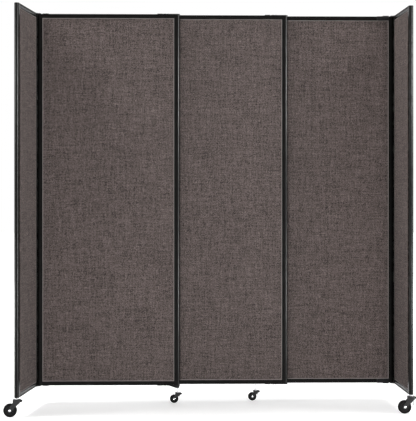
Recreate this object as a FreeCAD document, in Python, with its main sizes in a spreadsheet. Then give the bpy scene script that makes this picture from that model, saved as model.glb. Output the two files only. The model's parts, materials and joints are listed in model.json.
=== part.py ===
"""Sliding room divider: three sliding fabric panels, a hinged wing at each end and four braked casters."""
import FreeCAD, Part
import math
import os
import re
import Sketcher

# Every driving size, in millimetres or degrees.
SIZES = {
    # panels and their plan
    "panel_height": 2180,
    "panel_width": 838,
    "wing_width": 457,
    "floor_gap": 106,
    "slide_gap": 12,
    "nose_gap": 1,
    "splay_left": 7,
    "splay_right": 2,
    # frame extrusions
    "frame_thickness": 26,
    "stile_width": 33,
    "rail_height": 24,
    "slot_depth": 10,
    "track_edge": 4,
    "track_height": 6,
    "track_depth": 5,
    "bore_radius": 5.05,
    # fabric-covered boards
    "board_thickness": 16,
    "fabric_thickness": 1,
    "slot_play": 0.2,
    "slot_end_play": 0.5,
    # sliding shoes and travel stops
    "shoe_length": 99.5,
    "shoe_gap": 1,
    "shoe_height": 20,
    "slide_play": 0.5,
    "tongue_play": 0.4,
    "flange_thickness": 3,
    "flange_reach": 9,
    "lug_length": 32,
    "lug_height": 8,
    "lug_depth": 18,
    "stop_length": 70,
    "stop_flange_length": 36,
    "socket_start": 65,
    "socket_depth": 18,
    "socket_land": 8,
    # hinge links
    "pin_radius": 5,
    "pin_depth": 45,
    "pin_head_radius": 7,
    "pin_head_height": 2.5,
    "link_radius": 11,
    "link_thickness": 4,
    "link_play": 0.5,
    # casters: shared sizes
    "stem_insert": 60,
    "collar_radius": 9,
    "collar_height": 4,
    "swivel_play": 0.3,
    "axle_play": 0.05,
    "pedal_play": 0.5,
    "pedal_thickness": 3.2,
    "pedal_pin_radius": 1.8,
    "pedal_hub_radius": 3.5,
    "axle_head_height": 2.5,
    "dish_depth": 2,
    # small casters under the sliding panels
    "small_wheel_radius": 25,
    "small_wheel_width": 18,
    "small_tread_round": 5,
    "small_rim_radius": 18,
    "small_hub_radius": 8,
    "small_wheel_room": 2,
    "small_side_room": 1.5,
    "small_leg_thickness": 3,
    "small_trail": 20,
    "small_crown_top": 62,
    "small_crown_height": 12,
    "small_crown_back": 14,
    "small_crown_front": 18,
    "small_boss_radius": 8,
    "small_axle_radius": 3,
    "small_axle_head_radius": 5,
    "small_pedal_out": 12,
    "small_pedal_drop": 7,
    "small_pedal_reach": 12,
    "small_pedal_width": 14,
    "small_finger_length": 23,
    # large casters under the wings
    "large_wheel_radius": 37.5,
    "large_wheel_width": 24,
    "large_tread_round": 7,
    "large_rim_radius": 27,
    "large_hub_radius": 11,
    "large_wheel_room": 2.5,
    "large_side_room": 2,
    "large_leg_thickness": 3.5,
    "large_trail": 36,
    "large_crown_top": 98,
    "large_crown_height": 16,
    "large_crown_back": 20,
    "large_crown_front": 20,
    "large_boss_radius": 11,
    "large_axle_radius": 4,
    "large_axle_head_radius": 7,
    "large_pedal_out": 14,
    "large_pedal_drop": 9,
    "large_pedal_reach": 14,
    "large_pedal_width": 18,
    "large_finger_length": 44,
}

# How far a cutting tool runs past the face it opens.
OVERCUT = 1

doc = FreeCAD.newDocument("sliding_room_divider")
sheet = doc.addObject("Spreadsheet::Sheet", "dims")
sub_parts = []


def fill_sheet():
    """Write every size into the sheet as a plain number with its name as alias."""
    for row, (name, size) in enumerate(SIZES.items(), 1):
        sheet.set(f"A{row}", name)
        sheet.set(f"B{row}", str(size))
        sheet.setAlias(f"B{row}", name)
    doc.recompute()


def bound(sum_of_sizes):
    """The same sum with every size name pointing into the sheet."""

    def pointed(word):
        return f"dims.{word[0]}" if word[0] in SIZES else word[0]

    return re.sub(r"[a-z_]+", pointed, sum_of_sizes)


def value(sum_of_sizes):
    """What a sum of sizes comes to, worked out by a spare cell of the sheet."""
    sheet.set("D1", f"={sum_of_sizes}")
    sheet.recompute()
    number = float(sheet.get("D1"))
    sheet.clear("D1")
    return number


def bind(item, **sums):
    """Bind properties of an object to sums of sizes."""
    for name, sum_of_sizes in sums.items():
        item.setExpression(name, bound(sum_of_sizes))


def put(item, at):
    """Bind an object's place to three sums of sizes."""
    for axis, sum_of_sizes in zip("xyz", at):
        item.setExpression(f"Placement.Base.{axis}", bound(sum_of_sizes))


def box(low, size):
    """A block from its low corner and its three lengths."""
    item = doc.addObject("Part::Box", "block")
    bind(item, Length=size[0], Width=size[1], Height=size[2])
    put(item, low)
    return item


def rod(centre, radius, length):
    """An upright round bar from the centre of its lower end."""
    item = doc.addObject("Part::Cylinder", "rod")
    bind(item, Radius=radius, Height=length)
    put(item, centre)
    return item


def cross_rod(centre, radius, length):
    """A round bar along Y, centred on a point."""
    item = doc.addObject("Part::Cylinder", "cross_rod")
    item.Placement.Rotation = FreeCAD.Rotation(FreeCAD.Vector(1, 0, 0), -90)
    bind(item, Radius=radius, Height=length)
    put(item, (centre[0], f"{centre[1]} - ({length}) / 2", centre[2]))
    return item


def ring(centre, radius, round_radius):
    """A torus with its axis along Y."""
    item = doc.addObject("Part::Torus", "ring")
    item.Placement.Rotation = FreeCAD.Rotation(FreeCAD.Vector(1, 0, 0), -90)
    bind(item, Radius1=radius, Radius2=round_radius)
    put(item, centre)
    return item


def joined(*items):
    """Several touching solids as one."""
    whole = doc.addObject("Part::MultiFuse", "joined")
    whole.Shapes = list(items)
    whole.Refine = True
    return whole


def without(base, *tools):
    """A solid with others cut out of it."""
    for tool in tools:
        cut = doc.addObject("Part::Cut", "cut")
        cut.Base = base
        cut.Tool = tool
        base = cut
    return base


def group(*items):
    """Separate solids kept in one sub-part."""
    whole = doc.addObject("Part::Compound", "group")
    whole.Links = list(items)
    return whole


class Pose:
    """A place in plan and a turn about the vertical, each a sum of sizes."""

    def __init__(self, x, y, z="0", turn="0"):
        self.x, self.y, self.z, self.turn = x, y, z, turn

    def moved(self, along, across="0", up="0", turn="0"):
        """The pose reached by moving in this pose's own axes and then turning."""
        x = f"({self.x}) + ({along}) * cos({self.turn}) - ({across}) * sin({self.turn})"
        y = f"({self.y}) + ({along}) * sin({self.turn}) + ({across}) * cos({self.turn})"
        return Pose(x, y, f"({self.z}) + ({up})", f"({self.turn}) + ({turn})")


def sub_part(label, item, pose):
    """Name a finished piece and set it in its pose."""
    item.Label = label
    put(item, (pose.x, pose.y, pose.z))
    item.setExpression("Placement.Rotation.Angle", bound(pose.turn))
    sub_parts.append(item)


# Sums that several pieces share.
NOSE = "(frame_thickness / 2)"
PITCH = "(frame_thickness + slide_gap)"
LINK_PITCH = "(frame_thickness + nose_gap)"
SLOT_WIDTH = "(board_thickness + 2 * fabric_thickness + 2 * slot_play)"
STEP = "(panel_width - 2 * shoe_length - shoe_gap)"
LEFT_LINK_ANGLE = "((90 - splay_left) / 2)"
RIGHT_LINK_ANGLE = "((90 - splay_right) / 2)"
WING_REACH = "(wing_width - frame_thickness)"

# Plan points measured from the left panel's outer edge and middle plane.
LEFT_PIN = (NOSE, "0")
RIGHT_PIN = (f"(2 * {STEP} + panel_width - {NOSE})", f"(2 * {PITCH})")
LEFT_WING_PIN = (
    f"({LEFT_PIN[0]} - {LINK_PITCH} * cos({LEFT_LINK_ANGLE}))",
    f"({LEFT_PIN[1]} - {LINK_PITCH} * sin({LEFT_LINK_ANGLE}))",
)
RIGHT_WING_PIN = (
    f"({RIGHT_PIN[0]} + {LINK_PITCH} * cos({RIGHT_LINK_ANGLE}))",
    f"({RIGHT_PIN[1]} - {LINK_PITCH} * sin({RIGHT_LINK_ANGLE}))",
)
LEFT_FOOT = (
    f"({LEFT_WING_PIN[0]} - {WING_REACH} * sin(splay_left))",
    f"({LEFT_WING_PIN[1]} - {WING_REACH} * cos(splay_left))",
)
RIGHT_FOOT = (
    f"({RIGHT_WING_PIN[0]} + {WING_REACH} * sin(splay_right))",
    f"({RIGHT_WING_PIN[1]} - {WING_REACH} * cos(splay_right))",
)

# The origin is on the floor in the middle of the plan's outline.
LEFT_END = f"({LEFT_FOOT[0]} - large_trail - large_wheel_radius)"
RIGHT_END = f"({RIGHT_FOOT[0]} + large_pedal_out + large_pedal_reach)"
FRONT_END = f"({LEFT_FOOT[1]} - {NOSE})"
BACK_END = f"({RIGHT_PIN[1]} + {NOSE})"
ORIGIN_X = f"(({LEFT_END} + {RIGHT_END}) / 2)"
ORIGIN_Y = f"(({FRONT_END} + {BACK_END}) / 2)"


def in_plan(point, z="0", turn="0"):
    """A pose at a plan point, measured from the origin."""
    return Pose(f"{point[0]} - {ORIGIN_X}", f"{point[1]} - {ORIGIN_Y}", z, turn)


LEFT_PANEL = in_plan(("0", "0"), "floor_gap")
MIDDLE_PANEL = in_plan((STEP, PITCH), "floor_gap")
RIGHT_PANEL = in_plan((f"(2 * {STEP})", f"(2 * {PITCH})"), "floor_gap")
LEFT_WING = in_plan(LEFT_WING_PIN, "floor_gap", "-90 - splay_left").moved(f"-{NOSE}")
RIGHT_WING = in_plan(RIGHT_WING_PIN, "floor_gap", "-90 + splay_right").moved(f"-{NOSE}")


def pin_corner(sketch, geometry, point, corner):
    """Hold one sketch point at a corner given as two sums of sizes."""
    for kind, sum_of_sizes in zip(("DistanceX", "DistanceY"), corner):
        constraint = Sketcher.Constraint(kind, -1, 1, geometry, point, value(sum_of_sizes))
        index = sketch.addConstraint(constraint)
        sketch.setExpression(f"Constraints[{index}]", bound(sum_of_sizes))


def outline(body, plane_role, corners):
    """Draw straight lines through the corners in order, on one of the body's own planes."""
    sketch = body.newObject("Sketcher::SketchObject", "outline")
    plane = next(item for item in body.Origin.OriginFeatures if item.Role == plane_role)
    sketch.AttachmentSupport = [(plane, "")]
    sketch.MapMode = "FlatFace"
    points = [FreeCAD.Vector(value(first), value(second), 0) for first, second in corners]
    for start, end in zip(points, points[1:]):
        sketch.addGeometry(Part.LineSegment(start, end), False)
    last = len(points) - 2
    for index in range(last):
        sketch.addConstraint(Sketcher.Constraint("Coincident", index, 2, index + 1, 1))
    for index, corner in enumerate(corners[:-1]):
        pin_corner(sketch, index, 1, corner)
    return sketch, last


def pad(body, sketch, length):
    """Extrude a sketch into the body's solid."""
    feature = body.newObject("PartDesign::Pad", "extrusion")
    feature.Profile = sketch
    bind(feature, Length=length)
    return feature


def stile(label, pose):
    """An upright extrusion: round nose with a bore down its centre, and a slot for the board's edge."""
    body = doc.addObject("PartDesign::Body", "stile")
    slot_floor = "stile_width - slot_depth"
    corners = [
        (NOSE, f"-{NOSE}"),
        ("stile_width", f"-{NOSE}"),
        ("stile_width", f"-{SLOT_WIDTH} / 2"),
        (slot_floor, f"-{SLOT_WIDTH} / 2"),
        (slot_floor, f"{SLOT_WIDTH} / 2"),
        ("stile_width", f"{SLOT_WIDTH} / 2"),
        ("stile_width", NOSE),
        (NOSE, NOSE),
    ]
    sketch, last = outline(body, "XY_Plane", corners)
    pin_corner(sketch, last, 2, corners[-1])
    radius = value(NOSE)
    centre = FreeCAD.Vector(radius, 0, 0)
    upright = FreeCAD.Vector(0, 0, 1)
    nose_circle = Part.Circle(centre, upright, radius)
    nose = sketch.addGeometry(Part.ArcOfCircle(nose_circle, math.pi / 2, 3 * math.pi / 2), False)
    sketch.addConstraint(Sketcher.Constraint("Coincident", last, 2, nose, 1))
    sketch.addConstraint(Sketcher.Constraint("Coincident", nose, 2, 0, 1))
    middle = sketch.addConstraint(Sketcher.Constraint("DistanceX", -1, 1, nose, 3, radius))
    sketch.setExpression(f"Constraints[{middle}]", bound(NOSE))
    bore = sketch.addGeometry(Part.Circle(centre, upright, value("bore_radius")), False)
    sketch.addConstraint(Sketcher.Constraint("Coincident", bore, 3, nose, 3))
    wide = sketch.addConstraint(Sketcher.Constraint("Radius", bore, value("bore_radius")))
    sketch.setExpression(f"Constraints[{wide}]", bound("bore_radius"))
    pad(body, sketch, "panel_height")
    sub_part(label, body, pose)


def rail(label, pose, width, is_top):
    """A level extrusion with a board slot towards the panel and a track groove in the front and the back."""
    body = doc.addObject("PartDesign::Body", "rail")
    side = f"{SLOT_WIDTH} / 2"
    slot_floor = "rail_height - slot_depth"
    groove_low = "track_edge"
    groove_high = "track_edge + track_height"
    groove_floor = f"{NOSE} - track_depth"
    right_half = [
        (NOSE, "0"),
        (NOSE, groove_low),
        (groove_floor, groove_low),
        (groove_floor, groove_high),
        (NOSE, groove_high),
        (NOSE, "rail_height"),
        (side, "rail_height"),
        (side, slot_floor),
    ]
    left_half = [(f"-({across})", up) for across, up in reversed(right_half)]
    corners = right_half + left_half
    if is_top:
        corners = [(across, f"panel_height - ({up})") for across, up in corners]
    sketch, last = outline(body, "YZ_Plane", corners + corners[:1])
    sketch.addConstraint(Sketcher.Constraint("Coincident", last, 2, 0, 1))
    pad(body, sketch, f"({width}) - 2 * stile_width")
    sub_part(label, body, pose.moved("stile_width"))


def board(label, pose, width):
    """The stiff board inside a panel, with its edges in the frame's slots."""
    inset = "slot_depth - slot_end_play"
    size = (
        f"({width}) - 2 * stile_width + 2 * ({inset})",
        "board_thickness",
        f"panel_height - 2 * rail_height + 2 * ({inset})",
    )
    corner = pose.moved(f"stile_width - ({inset})", "-board_thickness / 2", f"rail_height - ({inset})")
    sub_part(label, box(("0", "0", "0"), size), corner)


def fabric(label, pose, width):
    """The cloth on a board's front and back."""
    inset = "slot_depth - slot_end_play"
    size = (
        f"({width}) - 2 * stile_width + 2 * ({inset})",
        "fabric_thickness",
        f"panel_height - 2 * rail_height + 2 * ({inset})",
    )
    faces = []
    for across in ("-board_thickness / 2 - fabric_thickness", "board_thickness / 2"):
        low = (f"stile_width - ({inset})", across, f"rail_height - ({inset})")
        faces.append(box(low, size))
    sub_part(label, group(*faces), pose)


def panel(name, pose, width, first_stile, second_stile):
    """One framed fabric panel of six pieces."""
    stile(f"{name}_{first_stile}_stile", pose)
    stile(f"{name}_{second_stile}_stile", pose.moved(width, turn="180"))
    rail(f"{name}_top_rail", pose, width, is_top=True)
    rail(f"{name}_bottom_rail", pose, width, is_top=False)
    board(f"{name}_board", pose, width)
    fabric(f"{name}_fabric", pose, width)


def level_box(is_top, x_range, y_range, z_range):
    """A block at the panel's foot, or at its head with the same heights counted downwards from the top."""
    low_z, high_z = z_range
    if is_top:
        low_z, high_z = f"panel_height - ({high_z})", f"panel_height - ({low_z})"
    low = (x_range[0], y_range[0], low_z)
    size = [f"({high}) - ({start})" for start, high in (x_range, y_range, (low_z, high_z))]
    return box(low, size)


def shoe(is_top, has_lug):
    """A shoe for a panel's far end and back face: a flange on its own rail and a tongue for the next rail."""
    ends = ("panel_width - shoe_length", "panel_width")
    gap_end = f"{NOSE} + slide_gap - slide_play"
    tongue_end = f"{NOSE} + slide_gap + track_depth - slide_play"
    tongue_low = "track_edge + tongue_play"
    tongue_high = "track_edge + track_height - tongue_play"
    blocks = [
        level_box(is_top, ends, ("-flange_reach", gap_end), ("-flange_thickness", "0")),
        level_box(is_top, ends, (NOSE, gap_end), ("0", "shoe_height")),
        level_box(is_top, ends, (gap_end, tongue_end), (tongue_low, tongue_high)),
    ]
    if has_lug:
        lug_ends = (ends[0], f"{ends[0]} + lug_length")
        blocks.append(level_box(is_top, lug_ends, ("0", "lug_depth"), ("-lug_height", "-flange_thickness")))
    return joined(*blocks)


def caster_socket():
    """The wedge under the left panel's shoe, narrowing downwards to the caster stem."""
    wedge = doc.addObject("Part::Wedge", "wedge")
    wedge.Placement.Rotation = FreeCAD.Rotation(FreeCAD.Vector(1, 0, 0), -90)
    stem = f"panel_width - {NOSE}"
    bind(wedge, Ymin="0", Ymax="socket_depth - flange_thickness")
    bind(wedge, Xmin="panel_width - socket_start", Xmax="panel_width")
    bind(wedge, X2min=f"{stem} - socket_land", X2max=f"{stem} + socket_land")
    bind(wedge, Zmin="-flange_reach", Z2min="-flange_reach", Zmax="flange_reach", Z2max="flange_reach")
    put(wedge, ("0", "0", "-flange_thickness"))
    return wedge


def stem_hole():
    """The tool that opens a shoe for the caster stem at the panel's far end."""
    low = (f"panel_width - {NOSE}", "0", f"-socket_depth - {OVERCUT}")
    return rod(low, "bore_radius", f"socket_depth + {2 * OVERCUT}")


def stop(is_top):
    """A travel stop beside the near stile, clipped into the back track of its own rail."""
    ends = ("stile_width", "stile_width + stop_length")
    flange_ends = ("stile_width", "stile_width + stop_flange_length")
    gap_end = f"{NOSE} + slide_gap - slide_play"
    tongue = ("track_edge + tongue_play", "track_edge + track_height - tongue_play")
    return joined(
        level_box(is_top, ends, (NOSE, gap_end), ("0", "rail_height")),
        level_box(is_top, ends, (f"{NOSE} - track_depth + slide_play", NOSE), tongue),
        level_box(is_top, flange_ends, ("-flange_reach", gap_end), ("-flange_thickness", "0")),
    )


def link(is_top):
    """A flat link with a headed pin down into each of the two stiles it joins."""
    heights = {
        "pin": ("-link_play", "pin_depth"),
        "plate": ("-link_play - link_thickness", "-link_play"),
        "head": ("-link_play - link_thickness - pin_head_height", "-link_play - link_thickness"),
    }
    if is_top:
        for name, (low, high) in heights.items():
            heights[name] = (f"panel_height - ({high})", f"panel_height - ({low})")
    radii = {"pin": "pin_radius", "plate": "link_radius", "head": "pin_head_radius"}
    solids = []
    for name, (low, high) in heights.items():
        for along in ("0", LINK_PITCH):
            solids.append(rod((along, "0", low), radii[name], f"({high}) - ({low})"))
    low, high = heights["plate"]
    solids.append(box(("0", "-link_radius", low), (LINK_PITCH, "2 * link_radius", f"({high}) - ({low})")))
    return joined(*solids)


def caster_half_width(kind):
    """Half of a yoke's width over its legs."""
    return f"({kind}_wheel_width / 2 + {kind}_side_room + {kind}_leg_thickness)"


def yoke(kind):
    """A caster's fork: a crown round the stem, two legs down to the axle and a notch for the brake pedal."""
    half = caster_half_width(kind)
    crown_low = f"({kind}_crown_top - {kind}_crown_height)"
    axle = (f"-{kind}_trail", "0", f"{kind}_wheel_radius")
    pedal_z = f"({kind}_crown_top - {kind}_pedal_drop)"
    legs = doc.addObject("Part::Wedge", "legs")
    legs.Placement.Rotation = FreeCAD.Rotation(FreeCAD.Vector(1, 0, 0), 90)
    bind(legs, Ymin=f"{kind}_wheel_radius", Ymax=crown_low)
    bind(legs, Xmin=f"-{kind}_trail - {kind}_boss_radius", Xmax=f"-{kind}_trail + {kind}_boss_radius")
    bind(legs, X2min=f"-{kind}_crown_back", X2max=f"{kind}_crown_front")
    bind(legs, Zmin=f"-{half}", Z2min=f"-{half}", Zmax=half, Z2max=half)
    crown = box(
        (f"-{kind}_crown_back", f"-{half}", crown_low),
        (f"{kind}_crown_back + {kind}_crown_front", f"2 * {half}", f"{kind}_crown_height"),
    )
    boss = cross_rod(axle, f"{kind}_boss_radius", f"2 * {half}")
    room = f"({kind}_wheel_width + 2 * {kind}_side_room)"
    wheel_room = cross_rod(axle, f"{kind}_wheel_radius + {kind}_wheel_room", room)
    leg_room_low = f"{kind}_wheel_radius - {kind}_boss_radius - {OVERCUT}"
    leg_room = box(
        (f"-{kind}_trail", f"-{room} / 2", leg_room_low),
        (f"{kind}_trail + {kind}_crown_front + {OVERCUT}", room, f"{crown_low} - ({leg_room_low})"),
    )
    notch_back = f"({kind}_pedal_out - pedal_hub_radius - pedal_play)"
    notch_width = f"({kind}_pedal_width + 2 * pedal_play)"
    notch = box(
        (notch_back, f"-{notch_width} / 2", f"{crown_low} - {OVERCUT}"),
        (
            f"{kind}_crown_front - {notch_back} + {OVERCUT}",
            notch_width,
            f"{pedal_z} + pedal_hub_radius + pedal_play - {crown_low} + {OVERCUT}",
        ),
    )
    across = f"2 * {half} + {2 * OVERCUT}"
    bore_low = ("0", "0", f"{crown_low} - {OVERCUT}")
    stem_bore = rod(bore_low, "bore_radius", f"{kind}_crown_height + {2 * OVERCUT}")
    axle_bore = cross_rod(axle, f"{kind}_axle_radius + axle_play", across)
    pedal_bore = cross_rod((f"{kind}_pedal_out", "0", pedal_z), "pedal_pin_radius + axle_play", across)
    return without(joined(legs, crown, boss), wheel_room, leg_room, notch, stem_bore, axle_bore, pedal_bore)


def wheel(kind):
    """A wheel with a rounded tread, a dished disc on each side and an axle bore."""
    radius, width, tread = (f"{kind}_{name}" for name in ("wheel_radius", "wheel_width", "tread_round"))
    centre = (f"-{kind}_trail", "0", radius)
    solids = [
        cross_rod(centre, radius, f"({width} - 2 * {tread})"),
        cross_rod(centre, f"{radius} - {tread}", width),
    ]
    dishes = []
    for side in ("-", ""):
        tread_y = f"{side}({width} / 2 - {tread})"
        solids.append(ring((centre[0], tread_y, centre[2]), f"{radius} - {tread}", tread))
        face = (centre[0], f"{side}{width} / 2", centre[2])
        disc = cross_rod(face, f"{kind}_rim_radius", "2 * dish_depth")
        dishes.append(without(disc, cross_rod(face, f"{kind}_hub_radius", "2 * dish_depth")))
    bore = cross_rod(centre, f"{kind}_axle_radius + axle_play", f"{width} + {2 * OVERCUT}")
    return without(joined(*solids), bore, *dishes)


def axle(kind):
    """The bolt that carries a wheel, with a round head outside each leg."""
    half = caster_half_width(kind)
    centre = (f"-{kind}_trail", "0", f"{kind}_wheel_radius")
    solids = [cross_rod(centre, f"{kind}_axle_radius", f"2 * {half}")]
    for side in ("-", ""):
        head = (centre[0], f"{side}({half} + axle_head_height / 2)", centre[2])
        solids.append(cross_rod(head, f"{kind}_axle_head_radius", "axle_head_height"))
    return joined(*solids)


def brake_pedal(kind):
    """A foot lever with a rolled toe on a cross pin, and a finger that swings onto the tread when pressed."""
    half = caster_half_width(kind)
    width = f"{kind}_pedal_width"
    out = f"{kind}_pedal_out"
    height = f"({kind}_crown_top - {kind}_pedal_drop)"
    pivot = (out, "0", height)
    length = f"{kind}_finger_length"
    lever_length = f"({kind}_pedal_reach - pedal_hub_radius)"
    lever_low = (out, f"-{width} / 2", f"{height} - pedal_thickness / 2")
    finger_low = (f"{out} - pedal_thickness / 2", f"-{width} / 2", f"{height} - {length}")
    return joined(
        cross_rod(pivot, "pedal_hub_radius", width),
        cross_rod(pivot, "pedal_pin_radius", f"(2 * {half} - 2 * pedal_play)"),
        box(lever_low, (lever_length, width, "pedal_thickness")),
        cross_rod((f"{out} + {lever_length}", "0", height), "pedal_hub_radius", width),
        box(finger_low, ("pedal_thickness", width, length)),
    )


def stem(kind):
    """The fixed pin of a caster, with a collar that the yoke turns under."""
    low = f"({kind}_crown_top - {kind}_crown_height)"
    collar_low = f"{kind}_crown_top + swivel_play"
    return joined(
        rod(("0", "0", low), "pin_radius", f"floor_gap + stem_insert - {low}"),
        rod(("0", "0", collar_low), "collar_radius", "collar_height"),
    )


def caster(name, kind, point):
    """One braked swivel caster of five pieces, trailing towards the left."""
    pose = in_plan(point)
    sub_part(f"{name}_stem", stem(kind), pose)
    sub_part(f"{name}_yoke", yoke(kind), pose)
    sub_part(f"{name}_wheel", wheel(kind), pose)
    sub_part(f"{name}_axle", axle(kind), pose)
    sub_part(f"{name}_brake_pedal", brake_pedal(kind), pose)


def build_panels():
    """The three sliding panels and the two wings."""
    panel("left_panel", LEFT_PANEL, "panel_width", "hinge", "inner")
    panel("middle_panel", MIDDLE_PANEL, "panel_width", "left", "right")
    panel("right_panel", RIGHT_PANEL, "panel_width", "inner", "hinge")
    panel("left_wing", LEFT_WING, "wing_width", "hinge", "outer")
    panel("right_wing", RIGHT_WING, "wing_width", "hinge", "outer")


def build_sliding_gear():
    """The shoes that carry each panel on its neighbour and the stops that end the travel."""
    middle_turned = MIDDLE_PANEL.moved("panel_width", turn="180")
    right_turned = RIGHT_PANEL.moved("panel_width", turn="180")
    left_foot = joined(shoe(is_top=False, has_lug=False), caster_socket())
    sub_part("left_panel_top_shoe", shoe(is_top=True, has_lug=False), LEFT_PANEL)
    sub_part("left_panel_bottom_shoe", without(left_foot, stem_hole()), LEFT_PANEL)
    sub_part("middle_panel_left_shoes", group(shoe(True, True), shoe(False, True)), middle_turned)
    sub_part("middle_panel_right_shoes", group(shoe(True, False), shoe(False, False)), MIDDLE_PANEL)
    sub_part("right_panel_top_shoe", shoe(is_top=True, has_lug=True), right_turned)
    sub_part("right_panel_bottom_shoe", without(shoe(is_top=False, has_lug=True), stem_hole()), right_turned)
    sub_part("left_panel_stops", group(stop(True), stop(False)), LEFT_PANEL)
    sub_part("right_panel_stops", group(stop(True), stop(False)), right_turned)


def build_hinges():
    """The links between the outer sliding panels and the wings."""
    left = in_plan(LEFT_PIN, "floor_gap", f"180 + {LEFT_LINK_ANGLE}")
    right = in_plan(RIGHT_PIN, "floor_gap", f"-{RIGHT_LINK_ANGLE}")
    sub_part("left_hinge_links", group(link(True), link(False)), left)
    sub_part("right_hinge_links", group(link(True), link(False)), right)


def build_casters():
    """Small casters under the sliding panels' inner stiles, large ones under the wings' outer stiles."""
    caster("left_panel_caster", "small", (f"(panel_width - {NOSE})", "0"))
    caster("right_panel_caster", "small", (f"(2 * {STEP} + {NOSE})", f"(2 * {PITCH})"))
    caster("left_wing_caster", "large", LEFT_FOOT)
    caster("right_wing_caster", "large", RIGHT_FOOT)


def write_parts():
    """Check every object and write each sub-part to its own file."""
    doc.recompute()
    for item in doc.Objects:
        if "Invalid" in item.State or "Error" in item.State:
            raise RuntimeError(f"{item.Name} did not build: {item.State}")
    os.makedirs("parts", exist_ok=True)
    for item in sub_parts:
        if item.Shape.isNull() or not item.Shape.isValid():
            raise RuntimeError(f"{item.Label} has no valid shape")
        item.Shape.exportStep(f"parts/{item.Label}.step")


fill_sheet()
build_panels()
build_sliding_gear()
build_hinges()
build_casters()
write_parts()
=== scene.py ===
"""Dresses the sliding room divider with drawn frames, woven cloth, moulded shoes and braked casters."""
import json
import logging
import math
from collections.abc import Callable, Iterable, Sequence
from dataclasses import dataclass, field
from enum import Enum

import bmesh
import bpy
from mathutils import Matrix, Vector


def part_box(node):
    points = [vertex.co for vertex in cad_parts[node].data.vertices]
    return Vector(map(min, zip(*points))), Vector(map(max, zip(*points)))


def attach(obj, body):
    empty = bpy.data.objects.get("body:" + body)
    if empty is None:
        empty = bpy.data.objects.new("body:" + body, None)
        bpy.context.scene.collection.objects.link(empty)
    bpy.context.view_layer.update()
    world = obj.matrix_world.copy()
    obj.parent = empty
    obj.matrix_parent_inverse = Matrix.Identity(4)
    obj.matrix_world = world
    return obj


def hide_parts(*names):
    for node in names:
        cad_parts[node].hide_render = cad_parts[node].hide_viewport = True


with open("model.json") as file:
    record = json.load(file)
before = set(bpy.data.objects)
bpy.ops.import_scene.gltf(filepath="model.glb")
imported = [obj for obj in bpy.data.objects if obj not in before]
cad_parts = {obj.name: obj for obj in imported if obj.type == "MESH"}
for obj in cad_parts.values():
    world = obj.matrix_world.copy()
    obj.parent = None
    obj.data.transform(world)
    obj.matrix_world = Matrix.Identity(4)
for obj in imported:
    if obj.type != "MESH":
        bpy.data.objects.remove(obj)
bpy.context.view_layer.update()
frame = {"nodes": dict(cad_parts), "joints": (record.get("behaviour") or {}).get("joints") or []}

LOG = logging.getLogger("room_divider")
MM = 0.001
UP = Vector((0, 0, 1))
AXLE_WAY = Vector((0, 1, 0))

# Name of the mesh attribute that marks where the cloth gets its painted edge highlight.
PAINTED_HIGHLIGHT_ATTRIBUTE = "tuck"

Colour = tuple[float, float, float]
Point = tuple[float, float, float]
Pair = tuple[float, float]
Socket = bpy.types.NodeSocket
Material = bpy.types.Material
Shape = bmesh.types.BMesh
Given = float | str | Colour | Pair | Socket


class Slot(Enum):
    """The record's material slots."""

    FRAME = "frame"
    FABRIC = "fabric"
    PLASTIC = "black_plastic"
    COATED_STEEL = "black_steel"
    ZINC = "zinc_steel"
    RUBBER = "wheel_rubber"


class Face(Enum):
    """The two faces of a panel, with the side of the middle plane that each is on."""

    FRONT = -1
    BACK = 1


class End(Enum):
    """The head and the foot of a panel, with the way that points out of it."""

    TOP = 1
    BOTTOM = -1


# Shader and geometry node trees


class Graph:
    """Adds nodes to a node tree and joins them up."""

    def __init__(self, tree: bpy.types.NodeTree) -> None:
        """Keep the tree that is built."""
        self.tree = tree

    def add(
        self, kind: str, inputs: dict[str | int, Given] | None = None, **options: object
    ) -> bpy.types.Node:
        """Add one node.

        Args:
            kind: the node's type name.
            inputs: values or sockets for its inputs, by name or number.
            options: the node's own settings.

        Returns:
            The new node.
        """
        node = self.tree.nodes.new(kind)
        for name, setting in options.items():
            setattr(node, name, setting)
        for key, given in (inputs or {}).items():
            if isinstance(given, Socket):
                self.tree.links.new(given, node.inputs[key])
            else:
                node.inputs[key].default_value = given
        return node

    def math(self, operation: str, *given: Given) -> Socket:
        """Join up to three values or sockets by a sum, such as MULTIPLY."""
        return self.add("ShaderNodeMath", dict(enumerate(given)), operation=operation).outputs[0]

    def vector_math(self, operation: str, *given: Given) -> Socket:
        """Join two vectors or sockets by a sum, such as MULTIPLY."""
        return self.add("ShaderNodeVectorMath", dict(enumerate(given)), operation=operation).outputs[0]

    def vector(self, x: Given = 0.0, y: Given = 0.0, z: Given = 0.0) -> Socket:
        """Join three values or sockets as one vector."""
        return self.add("ShaderNodeCombineXYZ", {0: x, 1: y, 2: z}).outputs[0]

    def spread(self, value: Socket, old: Pair, new: Pair = (0.0, 1.0)) -> Socket:
        """Map a value from its old range to a new one, with its ends held."""
        inputs = {"Value": value, 1: old[0], 2: old[1], 3: new[0], 4: new[1]}
        return self.add("ShaderNodeMapRange", inputs).outputs[0]

    def mix(self, factor: Given, first: Given, second: Given) -> Socket:
        """Mix two colours or sockets, by how much of the second there is."""
        inputs = {0: factor, 6: solid(first), 7: solid(second)}
        return self.add("ShaderNodeMix", inputs, data_type="RGBA").outputs[2]

    def noise(self, vector: Socket, scale: Given, detail: float = 3.0) -> Socket:
        """A noise value round 0.5, read at a vector, with a number of finer layers."""
        inputs = {"Vector": vector, "Scale": scale, "Detail": detail}
        return self.add("ShaderNodeTexNoise", inputs).outputs[0]


def solid(colour: Given) -> tuple[float, ...] | Socket:
    """A colour with its alpha, or the socket that was given."""
    return (*colour, 1.0) if isinstance(colour, tuple) else colour


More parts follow.
